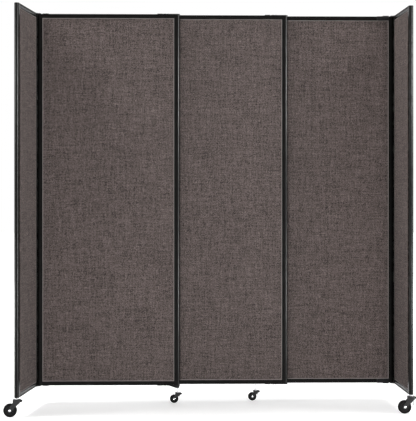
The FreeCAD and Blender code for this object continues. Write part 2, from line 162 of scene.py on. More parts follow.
def cleared(owner: Material | bpy.types.World) -> Graph:
    """Start the node tree of a material or a surround afresh.

    Args:
        owner: what the tree belongs to.

    Returns:
        The graph of the empty tree.
    """
    owner.use_nodes = True
    owner.node_tree.nodes.clear()
    return Graph(owner.node_tree)


def new_group(
    name: str, values: dict[str, float], outputs: Iterable[str]
) -> tuple[Graph, bpy.types.bpy_prop_collection]:
    """Start a shader node group that is read at a vector.

    Args:
        name: the group's name.
        values: the default value of each other input, by name.
        outputs: the names of the values that it puts out.

    Returns:
        The graph of the new group, and the sockets of its inputs.
    """
    tree = bpy.data.node_groups.new(name, "ShaderNodeTree")
    tree.interface.new_socket("Vector", in_out="INPUT", socket_type="NodeSocketVector")
    for label, default in values.items():
        socket = tree.interface.new_socket(label, in_out="INPUT", socket_type="NodeSocketFloat")
        socket.default_value = default
    for label in outputs:
        tree.interface.new_socket(label, in_out="OUTPUT", socket_type="NodeSocketFloat")
    graph = Graph(tree)
    return graph, graph.add("NodeGroupInput").outputs


class Effects:
    """The shader effects that several finishes share, each built once as a node group."""

    def __init__(self) -> None:
        """Build every group."""
        self.drawn_lines = self._drawn_lines()
        self.grain = self._grain()
        self.edge_wear = self._edge_wear()
        self.floor_dust = self._floor_dust()
        self.weave = self._weave()

    @staticmethod
    def _drawn_lines() -> bpy.types.NodeTree:
        """Fine lines along a drawn or turned piece.

        Returns:
            A group that puts out a mask and a height.
        """
        patches_per_metre = 14.0
        line_share = 0.5
        graph, given = new_group("drawn_lines", {"Across": 900.0, "Along": 4.0}, ("Mask", "Height"))
        scale = graph.vector(given["Across"], given["Along"], given["Across"])
        place = graph.vector_math("MULTIPLY", given["Vector"], scale)
        lines = graph.noise(place, 1.0, 2.0)
        patches = graph.noise(given["Vector"], patches_per_metre)
        lined = graph.math("MULTIPLY", lines, line_share)
        mask = graph.math("MULTIPLY_ADD", patches, 1.0 - line_share, lined)
        graph.add("NodeGroupOutput", {"Mask": mask, "Height": lines})
        return graph.tree

    @staticmethod
    def _grain() -> bpy.types.NodeTree:
        """The fine pebbled grain of a moulded, coated or cast surface.

        Returns:
            A group that puts out a mask and a height.
        """
        clouds_per_pebble = 0.06
        graph, given = new_group("fine_grain", {"Scale": 1500.0}, ("Mask", "Height"))
        pebbles = graph.add("ShaderNodeTexVoronoi", {"Vector": given["Vector"], "Scale": given["Scale"]})
        coarse = graph.math("MULTIPLY", given["Scale"], clouds_per_pebble)
        cloud = graph.noise(given["Vector"], coarse, 4.0)
        graph.add("NodeGroupOutput", {"Mask": cloud, "Height": pebbles.outputs["Distance"]})
        return graph.tree

    @staticmethod
    def _edge_wear() -> bpy.types.NodeTree:
        """Where an edge has been rubbed, broken up by noise.

        Returns:
            A group that puts out a mask.
        """
        reach = 1.2 * MM
        flat_to_sharp = (0.995, 0.86)
        patches_per_metre = 420.0
        patch_range = (0.42, 0.62)
        graph, given = new_group("edge_wear", {"Amount": 1.0}, ("Mask",))
        rounded_normal = graph.add("ShaderNodeBevel", {"Radius": reach}, samples=4).outputs[0]
        true_normal = graph.add("ShaderNodeNewGeometry").outputs["Normal"]
        normals = {0: rounded_normal, 1: true_normal}
        likeness = graph.add("ShaderNodeVectorMath", normals, operation="DOT_PRODUCT")
        edge = graph.spread(likeness.outputs["Value"], flat_to_sharp)
        patches = graph.noise(given["Vector"], patches_per_metre)
        broken = graph.spread(patches, patch_range)
        mask = graph.math("MULTIPLY", graph.math("MULTIPLY", edge, broken), given["Amount"])
        graph.add("NodeGroupOutput", {"Mask": mask})
        return graph.tree

    @staticmethod
    def _floor_dust() -> bpy.types.NodeTree:
        """Dust that thins out with height above the floor.

        Returns:
            A group that puts out a mask.
        """
        specks_per_metre = 260.0
        speck_range = (0.45, 0.72)
        graph, given = new_group("floor_dust", {"Height": 0.11, "Amount": 1.0}, ("Mask",))
        height = graph.add("ShaderNodeSeparateXYZ", {0: given["Vector"]}).outputs[2]
        share = graph.math("SUBTRACT", 1.0, graph.math("DIVIDE", height, given["Height"]))
        low = graph.math("MAXIMUM", share, 0.0)
        specks = graph.spread(graph.noise(given["Vector"], specks_per_metre, 6.0), speck_range)
        mask = graph.math("MULTIPLY", graph.math("MULTIPLY", low, specks), given["Amount"])
        graph.add("NodeGroupOutput", {"Mask": mask})
        return graph.tree

    @staticmethod
    def _weave() -> bpy.types.NodeTree:
        """A plain weave of slubbed yarns, read from a UV map in metres.

        Returns:
            A group that puts out a yarn tone, a streak tone and a height.
        """
        tone_range = (0.42, 0.58)
        fleck_share = 0.68
        far_apart = 90.0
        bends_per_metre = 90.0
        bend = (0.9, 0.9, 0.0)
        tones_per_yarn = 0.9
        tone_drift = 0.035
        counts = {
            "Yarns per metre": 620.0,
            "Yarns per row": 2.5,
            "Yarns per slub": 88.0,
            "Flecks per slub": 22.0,
        }
        graph, given = new_group("plain_weave", counts, ("Yarn", "Streak", "Height"))
        scale = graph.vector(given["Yarns per metre"], given["Yarns per metre"])
        unevenness = {"Vector": given["Vector"], "Scale": bends_per_metre, "Detail": 2.0}
        aside = graph.add("ShaderNodeTexNoise", unevenness).outputs["Color"]
        wobble = graph.vector_math("MULTIPLY", aside, bend)
        straight = graph.vector_math("MULTIPLY", given["Vector"], scale)
        place = graph.vector_math("ADD", straight, wobble)
        lifted = graph.vector_math("ADD", place, (0.0, 0.0, 0.5))
        over = graph.add("ShaderNodeTexChecker", {"Vector": lifted, "Scale": 1.0}).outputs["Fac"]
        across, along = graph.add("ShaderNodeSeparateXYZ", {0: place}).outputs[:2]
        heights = []
        tones = []
        streaks = []
        for position, length, stretch in (
            (across, along, (1.0, tone_drift, 1.0)),
            (along, across, (tone_drift, 1.0, 1.0)),
        ):
            wave = graph.math("SINE", graph.math("MULTIPLY", position, math.pi))
            heights.append(graph.math("ABSOLUTE", wave))
            drawn_out = graph.vector_math("MULTIPLY", place, stretch)
            tones.append(graph.noise(drawn_out, tones_per_yarn, 2.0))
            row = graph.math("FLOOR", graph.math("DIVIDE", position, given["Yarns per row"]))
            chance = graph.add("ShaderNodeTexWhiteNoise", {"W": row}, noise_dimensions="1D").outputs["Value"]
            start = graph.math("MULTIPLY", chance, far_apart)
            run = graph.math("ADD", start, graph.math("DIVIDE", length, given["Yarns per slub"]))
            own_line = graph.vector(run, start)
            slub, fleck = (
                graph.spread(graph.noise(own_line, count, 0.0), tone_range)
                for count in (1.0, given["Flecks per slub"])
            )
            streaks.append(graph.add("ShaderNodeMix", {0: fleck_share, 2: slub, 3: fleck}).outputs[0])
        yarn, streak, height = (
            graph.add("ShaderNodeMix", {0: over, 2: pair[0], 3: pair[1]}).outputs[0]
            for pair in (tones, streaks, heights)
        )
        graph.add("NodeGroupOutput", {"Yarn": yarn, "Streak": streak, "Height": height})
        return graph.tree


# Finishes


MASK_RANGE: Pair = (0.3, 0.7)


class Finish:
    """A material made of one Principled shader and the shared effects."""

    name: str
    roughness: Pair
    shine: float = 0.5
    relief: float = 0.01 * MM

    def __init__(self, effects: Effects) -> None:
        """Build the material.

        Args:
            effects: the shared node groups.
        """
        self.effects = effects
        self.material = bpy.data.materials.new(self.name)
        self.graph = cleared(self.material)
        self.shader = self.graph.add("ShaderNodeBsdfPrincipled", {"Specular IOR Level": self.shine})
        self.graph.add("ShaderNodeOutputMaterial", {"Surface": self.shader.outputs[0]})
        coordinates = self.graph.add("ShaderNodeTexCoord").outputs
        self.object_place = coordinates["Object"]
        self.uv_place = coordinates["UV"]
        self.dress()

    def dress(self) -> None:
        """Join the finish's own nodes to the shader."""
        raise NotImplementedError

    def effect(
        self, group: bpy.types.NodeTree, vector: Socket, **values: float
    ) -> bpy.types.Node:
        """Place a shared effect in this material.

        Args:
            group: the effect's node group.
            vector: where it is read.
            values: its other inputs, with underscores for spaces.

        Returns:
            The group node.
        """
        node = self.graph.add("ShaderNodeGroup", node_tree=group)
        self.graph.tree.links.new(vector, node.inputs["Vector"])
        for label, number in values.items():
            node.inputs[label.replace("_", " ")].default_value = number
        return node

    def feed(self, label: str, source: Socket) -> None:
        """Link one of the shader's inputs."""
        self.graph.tree.links.new(source, self.shader.inputs[label])

    def roughen(self, mask: Socket) -> None:
        """Let the gloss follow a mask, within the finish's own roughness."""
        self.feed("Roughness", self.graph.spread(mask, MASK_RANGE, self.roughness))

    def emboss(self, height: Socket) -> None:
        """Give the surface a relief of the finish's own depth."""
        bump = self.graph.add("ShaderNodeBump", {"Height": height, "Distance": self.relief})
        self.feed("Normal", bump.outputs[0])


class BlackExtrusion(Finish):
    """Satin black drawn aluminium."""

    name = "satin_black_extrusion"
    deep: Colour = (0.002, 0.0019, 0.0017)
    worn: Colour = (0.006, 0.0058, 0.0052)
    roughness = (0.22, 0.32)
    shine = 0.08

    def dress(self) -> None:
        """Drawn lines in the colour, the gloss and the relief."""
        lines = self.effect(self.effects.drawn_lines, self.uv_place, Across=1400.0, Along=2.5).outputs
        self.feed("Base Color", self.graph.mix(lines["Mask"], self.deep, self.worn))
        self.roughen(lines["Mask"])
        self.emboss(lines["Height"])


class HeatherCloth(Finish):
    """Taupe-grey cloth woven from slubbed yarns of several greys, with a painted highlight along its edges
    where it turns into the frame.
    """

    name = "taupe_heather_cloth"
    dark: Colour = (0.048, 0.037, 0.034)
    light: Colour = (0.17, 0.138, 0.131)
    dark_streak: Colour = (0.27, 0.27, 0.27)
    light_streak: Colour = (1.73, 1.73, 1.73)
    # Painted highlight: a pale colour painted along the cloth's edges by the frame, standing in for light
    # caught there.
    painted_edge_highlight: Colour = (0.34, 0.308, 0.3)
    yarn_range: Pair = (0.28, 0.72)
    roughness = (0.98, 0.86)
    shine = 0.04
    fuzz: float = 0.03
    relief = 0.35 * MM

    def dress(self) -> None:
        """Yarn tones, streaks, the painted highlight along the edges and the relief of the weave."""
        graph = self.graph
        weave = self.effect(self.effects.weave, self.uv_place, Yarns_per_metre=620.0).outputs
        yarn_share = graph.spread(weave["Yarn"], self.yarn_range)
        yarn = graph.mix(yarn_share, self.dark, self.light)
        streak = graph.mix(weave["Streak"], self.dark_streak, self.light_streak)
        tones = {0: 1.0, 6: yarn, 7: streak}
        blend = graph.add("ShaderNodeMix", tones, data_type="RGBA", blend_type="MULTIPLY")
        # Mask of the painted highlight along the cloth's edges, from the mesh attribute that Panel._cloth
        # sets.
        edge = graph.add("ShaderNodeAttribute", attribute_name=PAINTED_HIGHLIGHT_ATTRIBUTE).outputs["Fac"]
        self.feed("Base Color", graph.mix(edge, blend.outputs[2], self.painted_edge_highlight))
        self.roughen(weave["Height"])
        self.shader.inputs["Sheen Weight"].default_value = self.fuzz
        self.emboss(weave["Height"])


class GrainedFinish(Finish):
    """A fine-grained moulded, coated or pressed surface, rubbed or dusty where it has a colour for that."""

    deep: Colour
    pale: Colour
    grain_scale: float
    rubbed: Colour | None = None
    rubbed_share: float = 0.0
    dusty: Colour | None = None
    dusty_share: float = 0.0
    dust_height: float = 0.11

    def dress(self) -> None:
        """Grain in the colour, the gloss and the relief, then rubbed edges, then floor dust."""
        effects, place = self.effects, self.object_place
        grain = self.effect(effects.grain, place, Scale=self.grain_scale).outputs
        colour = self.graph.mix(grain["Mask"], self.deep, self.pale)
        if self.rubbed is not None:
            wear = self.effect(effects.edge_wear, place, Amount=self.rubbed_share).outputs
            colour = self.graph.mix(wear["Mask"], colour, self.rubbed)
        if self.dusty is not None:
            settled = {"Height": self.dust_height, "Amount": self.dusty_share}
            dust = self.effect(effects.floor_dust, place, **settled).outputs
            colour = self.graph.mix(dust["Mask"], colour, self.dusty)
        self.feed("Base Color", colour)
        self.roughen(grain["Mask"])
        self.emboss(grain["Height"])


class MouldedPlastic(GrainedFinish):
    """Black moulded plastic with a fine matt grain and rubbed edges."""

    name = "black_moulded_plastic"
    deep = (0.004, 0.004, 0.0042)
    pale = (0.011, 0.011, 0.0114)
    rubbed = (0.05, 0.05, 0.0515)
    rubbed_share = 0.5
    roughness = (0.42, 0.56)
    shine = 0.12
    relief = 0.05 * MM
    grain_scale = 1900.0


class PowderCoat(GrainedFinish):
    """Black powder coat on pressed steel, worn to bare metal in places on its edges and a little dusty."""

    name = "black_powder_coat"
    deep = (0.006, 0.006, 0.0062)
    pale = (0.018, 0.018, 0.0185)
    rubbed = (0.3, 0.3, 0.31)
    rubbed_share = 0.45
    dusty = (0.1, 0.095, 0.088)
    dusty_share = 0.12
    roughness = (0.26, 0.4)
    shine = 0.24
    relief = 0.04 * MM
    grain_scale = 1300.0


class BrightZinc(Finish):
    """Bright zinc on turned steel."""

    name = "bright_zinc"
    dull: Colour = (0.38, 0.385, 0.395)
    bright: Colour = (0.6, 0.605, 0.62)
    roughness = (0.2, 0.36)

    def dress(self) -> None:
        """Turning lines and clouded plating."""
        lines = self.effect(self.effects.drawn_lines, self.object_place, Across=260.0, Along=260.0).outputs
        cloud = self.effect(self.effects.grain, self.object_place, Scale=2600.0).outputs
        self.shader.inputs["Metallic"].default_value = 1.0
        self.feed("Base Color", self.graph.mix(cloud["Mask"], self.dull, self.bright))
        self.roughen(lines["Mask"])
        self.emboss(lines["Height"])


class TreadRubber(GrainedFinish):
    """Black rubber of the wheels' treads."""

    name = "black_tread_rubber"
    deep = (0.0022, 0.0022, 0.0023)
    pale = (0.0065, 0.0065, 0.0067)
    dusty = (0.045, 0.0425, 0.04)
    dusty_share = 0.12
    dust_height = 0.06
    roughness = (0.62, 0.8)
    shine = 0.04
    relief = 0.06 * MM
    grain_scale = 1500.0


class HubPlastic(GrainedFinish):
    """Charcoal plastic of the wheels' hubs."""

    name = "charcoal_hub_plastic"
    deep = (0.003, 0.003, 0.0031)
    pale = (0.01, 0.01, 0.0104)
    dusty = (0.05, 0.0475, 0.045)
    dusty_share = 0.1
    dust_height = 0.09
    roughness = (0.3, 0.44)
    shine = 0.1
    relief = 0.03 * MM
    grain_scale = 2200.0


class FibreBoard(GrainedFinish):
    """Raw fibre board behind the cloth."""

    name = "raw_fibre_board"
    deep = (0.2, 0.145, 0.09)
    pale = (0.36, 0.28, 0.19)
    roughness = (0.82, 0.95)
    shine = 0.3
    relief = 0.1 * MM
    grain_scale = 900.0


class Finishes:
    """Every finish, built once."""

    def __init__(self) -> None:
        """Build the shared effects and the materials."""
        effects = Effects()
        self.extrusion = BlackExtrusion(effects).material
        self.cloth = HeatherCloth(effects).material
        self.plastic = MouldedPlastic(effects).material
        self.coated_steel = PowderCoat(effects).material
        self.zinc = BrightZinc(effects).material
        self.rubber = TreadRubber(effects).material
        self.hub = HubPlastic(effects).material
        self.board = FibreBoard(effects).material


# Mesh building


@dataclass(frozen=True)
class Corner:
    """One corner of an outline, with the radius that softens it."""

    across: float
    along: float
    radius: float = 0.0


ARC_STEPS = 4
DOME_STEPS = 6
ROUND_STEPS = 32
SMOOTH_ANGLE = math.radians(35)
FLAT_ANGLE = math.radians(0.5)
MERGE_DISTANCE = 0.002 * MM


def softened_outline(corners: Sequence[Corner]) -> list[Pair]:
    """Draw a closed outline with rounded corners.

    Args:
        corners: the outline's corners in order.

    Returns:
        The points of the outline, in metres.
    """
    points = []
    count = len(corners)
    for index, corner in enumerate(corners):
        here = Vector((corner.across, corner.along))
        if corner.radius == 0.0:
            points.append((here.x, here.y))
            continue
        before = corners[index - 1]
        after = corners[(index + 1) % count]
        back = (Vector((before.across, before.along)) - here).normalized()
        onward = (Vector((after.across, after.along)) - here).normalized()
        half = back.angle(onward) / 2
        centre = here + (back + onward).normalized() * (corner.radius / math.sin(half))
        start = here + back * (corner.radius / math.tan(half)) - centre
        end = here + onward * (corner.radius / math.tan(half)) - centre
        sweep = start.angle_signed(end)
        for step in range(ARC_STEPS + 1):
            turned = start.copy()
            turned.rotate(Matrix.Rotation(-sweep * step / ARC_STEPS, 2))
            points.append((centre.x + turned.x, centre.y + turned.y))
    return points


def arc(centre: Pair, radius: float, start: float, end: float, steps: int) -> list[Pair]:
    """Points along an arc.

    Args:
        centre: the arc's centre.
        radius: its radius.
        start: its first angle in degrees.
        end: its last angle in degrees.
        steps: how many steps it takes.

    Returns:
        The points from the first angle to the last.
    """
    points = []
    for step in range(steps + 1):
        angle = math.radians(start + (end - start) * step / steps)
        points.append((centre[0] + radius * math.cos(angle), centre[1] + radius * math.sin(angle)))
    return points


def dome(radius: float, height: float, base: float) -> list[Pair]:
    """The turned profile of a domed head, from its rim to its crown.

    Args:
        radius: the head's radius.
        height: how far it rises.
        base: where its rim is along the axis.

    Returns:
        Radius and distance along the axis, point by point.
    """
    points = []
    for step in range(DOME_STEPS):
        angle = math.radians(90 * step / DOME_STEPS)
        points.append((radius * math.cos(angle), base + height * math.sin(angle)))
    return [*points, (0.0, base + height)]


def mirrored(profile: Sequence[Pair]) -> list[Pair]:
    """A turned profile on the other side of its middle, walked the other way."""
    return [(radius, -distance) for radius, distance in reversed(profile)]


def linked(name: str, data: bpy.types.ID) -> bpy.types.Object:
    """Put a mesh, a light or a camera into the scene.

    Args:
        name: the new object's name.
        data: what it shows.

    Returns:
        The new object.
    """
    item = bpy.data.objects.new(name, data)
    bpy.context.scene.collection.objects.link(item)
    return item


def smooth(mesh: bpy.types.Mesh) -> None:
    """Shade curved faces smooth and keep sharp edges sharp."""
    mesh.polygons.foreach_set("use_smooth", [True] * len(mesh.polygons))
    mesh.set_sharp_from_angle(angle=SMOOTH_ANGLE)


def finished(name: str, shape: Shape, material: Material) -> bpy.types.Object:
    """Turn a closed shape into an object with smooth curved faces.

    Args:
        name: the piece's name.
        shape: the shape, which is freed.
        material: its finish.

    Returns:
        The new object.
    """
    bmesh.ops.recalc_face_normals(shape, faces=shape.faces)
    mesh = bpy.data.meshes.new(name)
    shape.to_mesh(mesh)
    shape.free()
    smooth(mesh)
    mesh.materials.append(material)
    return linked(name, mesh)


def extrude(
    outlines: Sequence[Sequence[Pair]], span: Pair, place: Callable[[float, float, float], Vector]
) -> Shape:
    """Make a straight extrusion with capped ends and a UV map that runs along it.

    Args:
        outlines: the outer outline and then any holes.
        span: where the extrusion starts and ends along its length.
        place: gives the row-frame point for a point of the outline and a distance along the length.

    Returns:
        The new shape.
    """
    shape = bmesh.new()
    uv = shape.loops.layers.uv.verify()
    ends: list[list[bmesh.types.BMEdge]] = [[], []]
    for points in outlines:
        rings = [[shape.verts.new(place(*point, distance)) for point in points] for distance in span]
        walked = 0.0
        for index, point in enumerate(points):
            following = (index + 1) % len(points)
            step = math.dist(point, points[following])
            low, high = rings
            wall = shape.faces.new((low[index], low[following], high[following], high[index]))
            corners = ((0.0, 0), (step, 0), (step, 1), (0.0, 1))
            for loop, (ahead, end) in zip(wall.loops, corners):
                loop[uv].uv = (walked + ahead, span[end])
            walked += step
            for ring, edges in zip(rings, ends):
                edges.append(shape.edges.get((ring[index], ring[following])))
    for edges in ends:
        cap = bmesh.ops.triangle_fill(shape, edges=edges, use_beauty=True)
        for item in cap["geom"]:
            if isinstance(item, bmesh.types.BMFace):
                for loop in item.loops:
                    loop[uv].uv = (loop.vert.co.x + loop.vert.co.y, loop.vert.co.z)
    return shape


def turn(
    shape: Shape,
    profile: Sequence[Pair],
    centre: Vector,
    axis: Vector,
    steps: int = ROUND_STEPS,
    closed: bool = False,
) -> None:
    """Add a turned shape.

    Args:
        shape: the shape that is added to.
        profile: radius and distance along the axis, point by point.
        centre: where the axis starts.
        axis: the axis direction, of length one.
        steps: how many steps go round.
        closed: whether the profile's last point joins its first, as in a ring.
    """
    side = axis.orthogonal().normalized()
    other = axis.cross(side)
    rings = []
    for radius, distance in profile:
        middle = centre + axis * distance
        if radius == 0.0:
            rings.append([shape.verts.new(middle)] * steps)
            continue
        ring = []
        for step in range(steps):
            angle = math.tau * step / steps
            outward = side * math.cos(angle) + other * math.sin(angle)
            ring.append(shape.verts.new(middle + outward * radius))
        rings.append(ring)
    pairs = list(zip(rings, rings[1:]))
    if closed:
        pairs.append((rings[-1], rings[0]))
    for first, second in pairs:
        for step in range(steps):
            following = (step + 1) % steps
            around = (first[step], first[following], second[following], second[step])
            shape.faces.new(dict.fromkeys(around))


@dataclass(frozen=True)
class Cut:
    """A flat cut through a piece, with the way to the side that is kept."""

    point: Vector
    way: Vector


def softened_copy(
    name: str, node: str, width: float, material: Material, cut: Cut | None = None
) -> bpy.types.Object:
    """Copy a CAD node and round its straight edges.

    Args:
        name: the new piece's name.
        node: the CAD node.
        width: how far the rounding reaches from each edge.
        material: the piece's finish.
        cut: where the copy is cut off, if anywhere.

    Returns:
        The new object.
    """
    shape = bmesh.new()
    shape.from_mesh(frame["nodes"][node].data)
    bmesh.ops.remove_doubles(shape, verts=shape.verts, dist=MERGE_DISTANCE)
    bmesh.ops.dissolve_limit(shape, angle_limit=FLAT_ANGLE, verts=shape.verts, edges=shape.edges)
    if cut is not None:
        everything = [*shape.verts, *shape.edges, *shape.faces]
        plane = {"plane_co": cut.point, "plane_no": cut.way}
        rim = bmesh.ops.bisect_plane(shape, geom=everything, clear_inner=True, **plane)["geom_cut"]
        bmesh.ops.holes_fill(shape, edges=[item for item in rim if isinstance(item, bmesh.types.BMEdge)])
    too_short = 3 * width
    straight = [
        edge
        for edge in shape.edges
        if len(edge.link_faces) == 2
        and edge.calc_face_angle() > SMOOTH_ANGLE
        and edge.calc_length() > too_short
    ]
    bmesh.ops.bevel(
        shape, geom=straight, offset=width, segments=2, profile=0.5, affect="EDGES", clamp_overlap=True
    )
    return finished(name, shape, material)


def settle(piece: bpy.types.Object, body: str, node: str | None = None) -> None:
    """Let a piece ride on its body and report it.

    Args:
        piece: the finished piece.
        body: the CAD body that it moves with.
        node: the CAD node that it stands for, if any.
    """
    if node is not None:
        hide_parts(node)
    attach(piece, body)
    LOG.info("%s rides on %s with %d faces", piece.name, body, len(piece.data.polygons))


# Repeated small pieces


class NodeTool:
    """A geometry node tree with named inputs that makes repeated small pieces."""

    def __init__(self, name: str, inputs: dict[str, str]) -> None:
        """Start the tree.

        Args:
            name: the tree's name.
            inputs: socket type by input name.
        """
        self.tree = bpy.data.node_groups.new(name, "GeometryNodeTree")
        self.tree.is_modifier = True
        self.graph = Graph(self.tree)
        self.tree.interface.new_socket("Geometry", in_out="OUTPUT", socket_type="NodeSocketGeometry")
        sockets = {"Geometry": "NodeSocketGeometry", **inputs, "Material": "NodeSocketMaterial"}
        for label, kind in sockets.items():
            self.tree.interface.new_socket(label, in_out="INPUT", socket_type=kind)
        self.given = self.graph.add("NodeGroupInput").outputs

    def end(self, instances: Socket) -> None:
        """Make the instances real and give them their material.

        Args:
            instances: the geometry socket to finish.
        """
        real = self.graph.add("GeometryNodeRealizeInstances", {0: instances}).outputs[0]
        coat = {"Geometry": real, "Material": self.given["Material"]}
        dressed = self.graph.add("GeometryNodeSetMaterial", coat)
        self.graph.add("NodeGroupOutput", {0: dressed.outputs[0]})

    def run(
        self, name: str, mesh: bpy.types.Mesh, material: Material, **values: object
    ) -> bpy.types.Object:
        """Run the tree on a mesh and keep the result as a plain mesh.

        Args:
            name: the new piece's name.
            mesh: what the tree starts from.
            material: the pieces' finish.
            values: the tree's other inputs, with underscores for spaces.

        Returns:
            The new object.
        """
        piece = linked(name, mesh)
        modifier = piece.modifiers.new("repeat", "NODES")
        modifier.node_group = self.tree
        inputs = {label.replace("_", " "): number for label, number in values.items()}
        inputs["Material"] = material
        for item in self.tree.interface.items_tree:
            if item.in_out == "INPUT" and item.name in inputs:
                modifier[item.identifier] = inputs[item.name]
        depsgraph = bpy.context.evaluated_depsgraph_get()
        made = bpy.data.meshes.new_from_object(piece.evaluated_get(depsgraph), depsgraph=depsgraph)
        piece.modifiers.clear()
        piece.data = made
        made.name = name
        smooth(made)
        return piece


@dataclass(frozen=True)
class ScrewSize:
    """A pan-head screw's visible sizes."""

    radius: float = 4.0 * MM
    height: float = 2.4 * MM
    recess: float = 0.9 * MM


class ScrewTool(NodeTool):
    """Domed screw heads with a cross recess, one on each point of a mesh."""

    def __init__(self) -> None:
        """Build the tree."""
        cutter_share = 3.0
        arm_share = 1.1
        sizes = ("Head radius", "Head height", "Recess width")
        super().__init__("screw_heads", dict.fromkeys(sizes, "NodeSocketFloat"))
        graph, given = self.graph, self.given
        ball_sizes = {"Segments": 24, "Rings": 12, "Radius": given["Head radius"]}
        ball = graph.add("GeometryNodeMeshUVSphere", ball_sizes)
        flatness = graph.math("DIVIDE", given["Head height"], given["Head radius"])
        squeeze = graph.vector(1.0, 1.0, flatness)
        cap = graph.add("GeometryNodeTransform", {"Geometry": ball.outputs[0], "Scale": squeeze}).outputs[0]
        wide = graph.math("MULTIPLY", given["Head radius"], cutter_share)
        below = graph.add("GeometryNodeMeshCube", {"Size": graph.vector(wide, wide, wide)}).outputs[0]
        drop = graph.vector(z=graph.math("MULTIPLY", wide, -0.5))
        lowered = graph.add("GeometryNodeTransform", {"Geometry": below, "Translation": drop}).outputs[0]
        arm = graph.math("MULTIPLY", given["Head radius"], arm_share)
        tools = graph.add("GeometryNodeJoinGeometry")
        for length, width in ((arm, given["Recess width"]), (given["Recess width"], arm)):
            size = graph.vector(length, width, given["Head height"])
            bar = graph.add("GeometryNodeMeshCube", {"Size": size})
            lift = graph.vector(z=given["Head height"])
            raised = graph.add("GeometryNodeTransform", {"Geometry": bar.outputs[0], "Translation": lift})
            graph.tree.links.new(raised.outputs[0], tools.inputs[0])
        graph.tree.links.new(lowered, tools.inputs[0])
        head = graph.add("GeometryNodeMeshBoolean", {0: cap, 1: tools.outputs[0]}, operation="DIFFERENCE")
        way = graph.add("GeometryNodeInputNamedAttribute", {"Name": "way"}, data_type="FLOAT_VECTOR")
        way = way.outputs[0]
        stand = graph.add("FunctionNodeAlignRotationToVector", {"Vector": way}, axis="Z").outputs[0]
        inputs = {"Points": given["Geometry"], "Instance": head.outputs[0], "Rotation": stand}
        self.end(graph.add("GeometryNodeInstanceOnPoints", inputs).outputs[0])

    def drive(
        self,
        name: str,
        places: Sequence[tuple[Vector, Vector]],
        material: Material,
        head: ScrewSize,
    ) -> bpy.types.Object:
        """Set screw heads on their seats.

        Args:
            name: the new piece's name.
            places: the seat and the outward way of each screw.
            material: the screws' finish.
            head: the size of a head.

        Returns:
            The new object with every head.
        """
        mesh = bpy.data.meshes.new(name)
        mesh.from_pydata([seat for seat, _ in places], [], [])
        ways = mesh.attributes.new("way", "FLOAT_VECTOR", "POINT")
        for item, (_, way) in zip(ways.data, places):
            item.vector = way
        sizes = {"Head_radius": head.radius, "Head_height": head.height, "Recess_width": head.recess}
        return self.run(name, mesh, material, **sizes)


class SpokeTool(NodeTool):
    """Radial ribs in a wheel's dish, on a ring about Y."""

    def __init__(self) -> None:
        """Build the tree."""
        sizes = {"Count": "NodeSocketInt", "Ring radius": "NodeSocketFloat"}
        sizes |= {"Rib size": "NodeSocketVector", "Centre": "NodeSocketVector", "Side": "NodeSocketFloat"}
        super().__init__("dish_spokes", sizes)
        graph, given = self.graph, self.given
        ring_sizes = {"Vertices": given["Count"], "Radius": given["Ring radius"]}
        ring = graph.add("GeometryNodeMeshCircle", ring_sizes)
        rib = graph.add("GeometryNodeMeshCube", {"Size": given["Rib size"]}).outputs[0]
        index = graph.add("GeometryNodeInputIndex").outputs[0]
        step = graph.math("DIVIDE", math.tau, given["Count"])
        angle = graph.vector(z=graph.math("MULTIPLY", index, step))
        inputs = {"Points": ring.outputs[0], "Instance": rib, "Rotation": angle}
        spokes = graph.add("GeometryNodeInstanceOnPoints", inputs).outputs[0]
        offset = graph.vector(y=given["Side"])
        place = graph.vector_math("ADD", given["Centre"], offset)
        upright = {"Geometry": spokes, "Translation": place, "Rotation": (math.pi / 2, 0.0, 0.0)}
        self.end(graph.add("GeometryNodeTransform", upright).outputs[0])


class RidgeTool(NodeTool):
    """A straight row of equal ridges."""

    def __init__(self) -> None:
        """Build the tree."""
        sizes = {"Count": "NodeSocketInt", "Start": "NodeSocketVector"}
        sizes |= {"Step": "NodeSocketVector", "Ridge size": "NodeSocketVector"}
        super().__init__("ridge_row", sizes)
        graph, given = self.graph, self.given
        inputs = {"Count": given["Count"], "Start Location": given["Start"], "Offset": given["Step"]}
        row = graph.add("GeometryNodeMeshLine", inputs).outputs[0]
        ridge = graph.add("GeometryNodeMeshCube", {"Size": given["Ridge size"]}).outputs[0]
        self.end(graph.add("GeometryNodeInstanceOnPoints", {"Points": row, "Instance": ridge}).outputs[0])


@dataclass
class Tools:
    """The geometry node trees, built once."""

    screws: ScrewTool = field(default_factory=ScrewTool)
    spokes: SpokeTool = field(default_factory=SpokeTool)
    ridges: RidgeTool = field(default_factory=RidgeTool)


# Panels


def joint_place(name: str) -> Vector:
    """The point that a joint turns about, in the row frame."""
    return next(Vector(joint["pos_m"]) for joint in frame["joints"] if joint["name"] == name)


@dataclass(frozen=True)
class FrameSizes:
    """The frame extrusions' sizes."""

    thickness: float = 26 * MM
    stile_width: float = 33 * MM
    rail_height: float = 24 * MM
    slot_depth: float = 10 * MM
    slot_width: float = 18.4 * MM
    track_edge: float = 4 * MM
    track_height: float = 6 * MM
    track_depth: float = 5 * MM
    bore_radius: float = 5.05 * MM
    lip_round: float = 0.8 * MM
    track_round: float = 0.5 * MM
    nose_steps: int = 28
    bore_steps: int = 24

    @property
    def nose(self) -> float:
        """The radius of the stile's round nose."""
        return self.thickness / 2


@dataclass(frozen=True)
class Place:
    """Where a panel stands: its near lower corner in the middle plane, its way along and its size."""

    start: Vector
    along: Vector
    width: float
    height: float

    def at(self, along: float, across: float, up: float) -> Vector:
        """A row-frame point from distances along, across and up the panel."""
        side = UP.cross(self.along)
        return self.start + self.along * along + side * across + UP * up


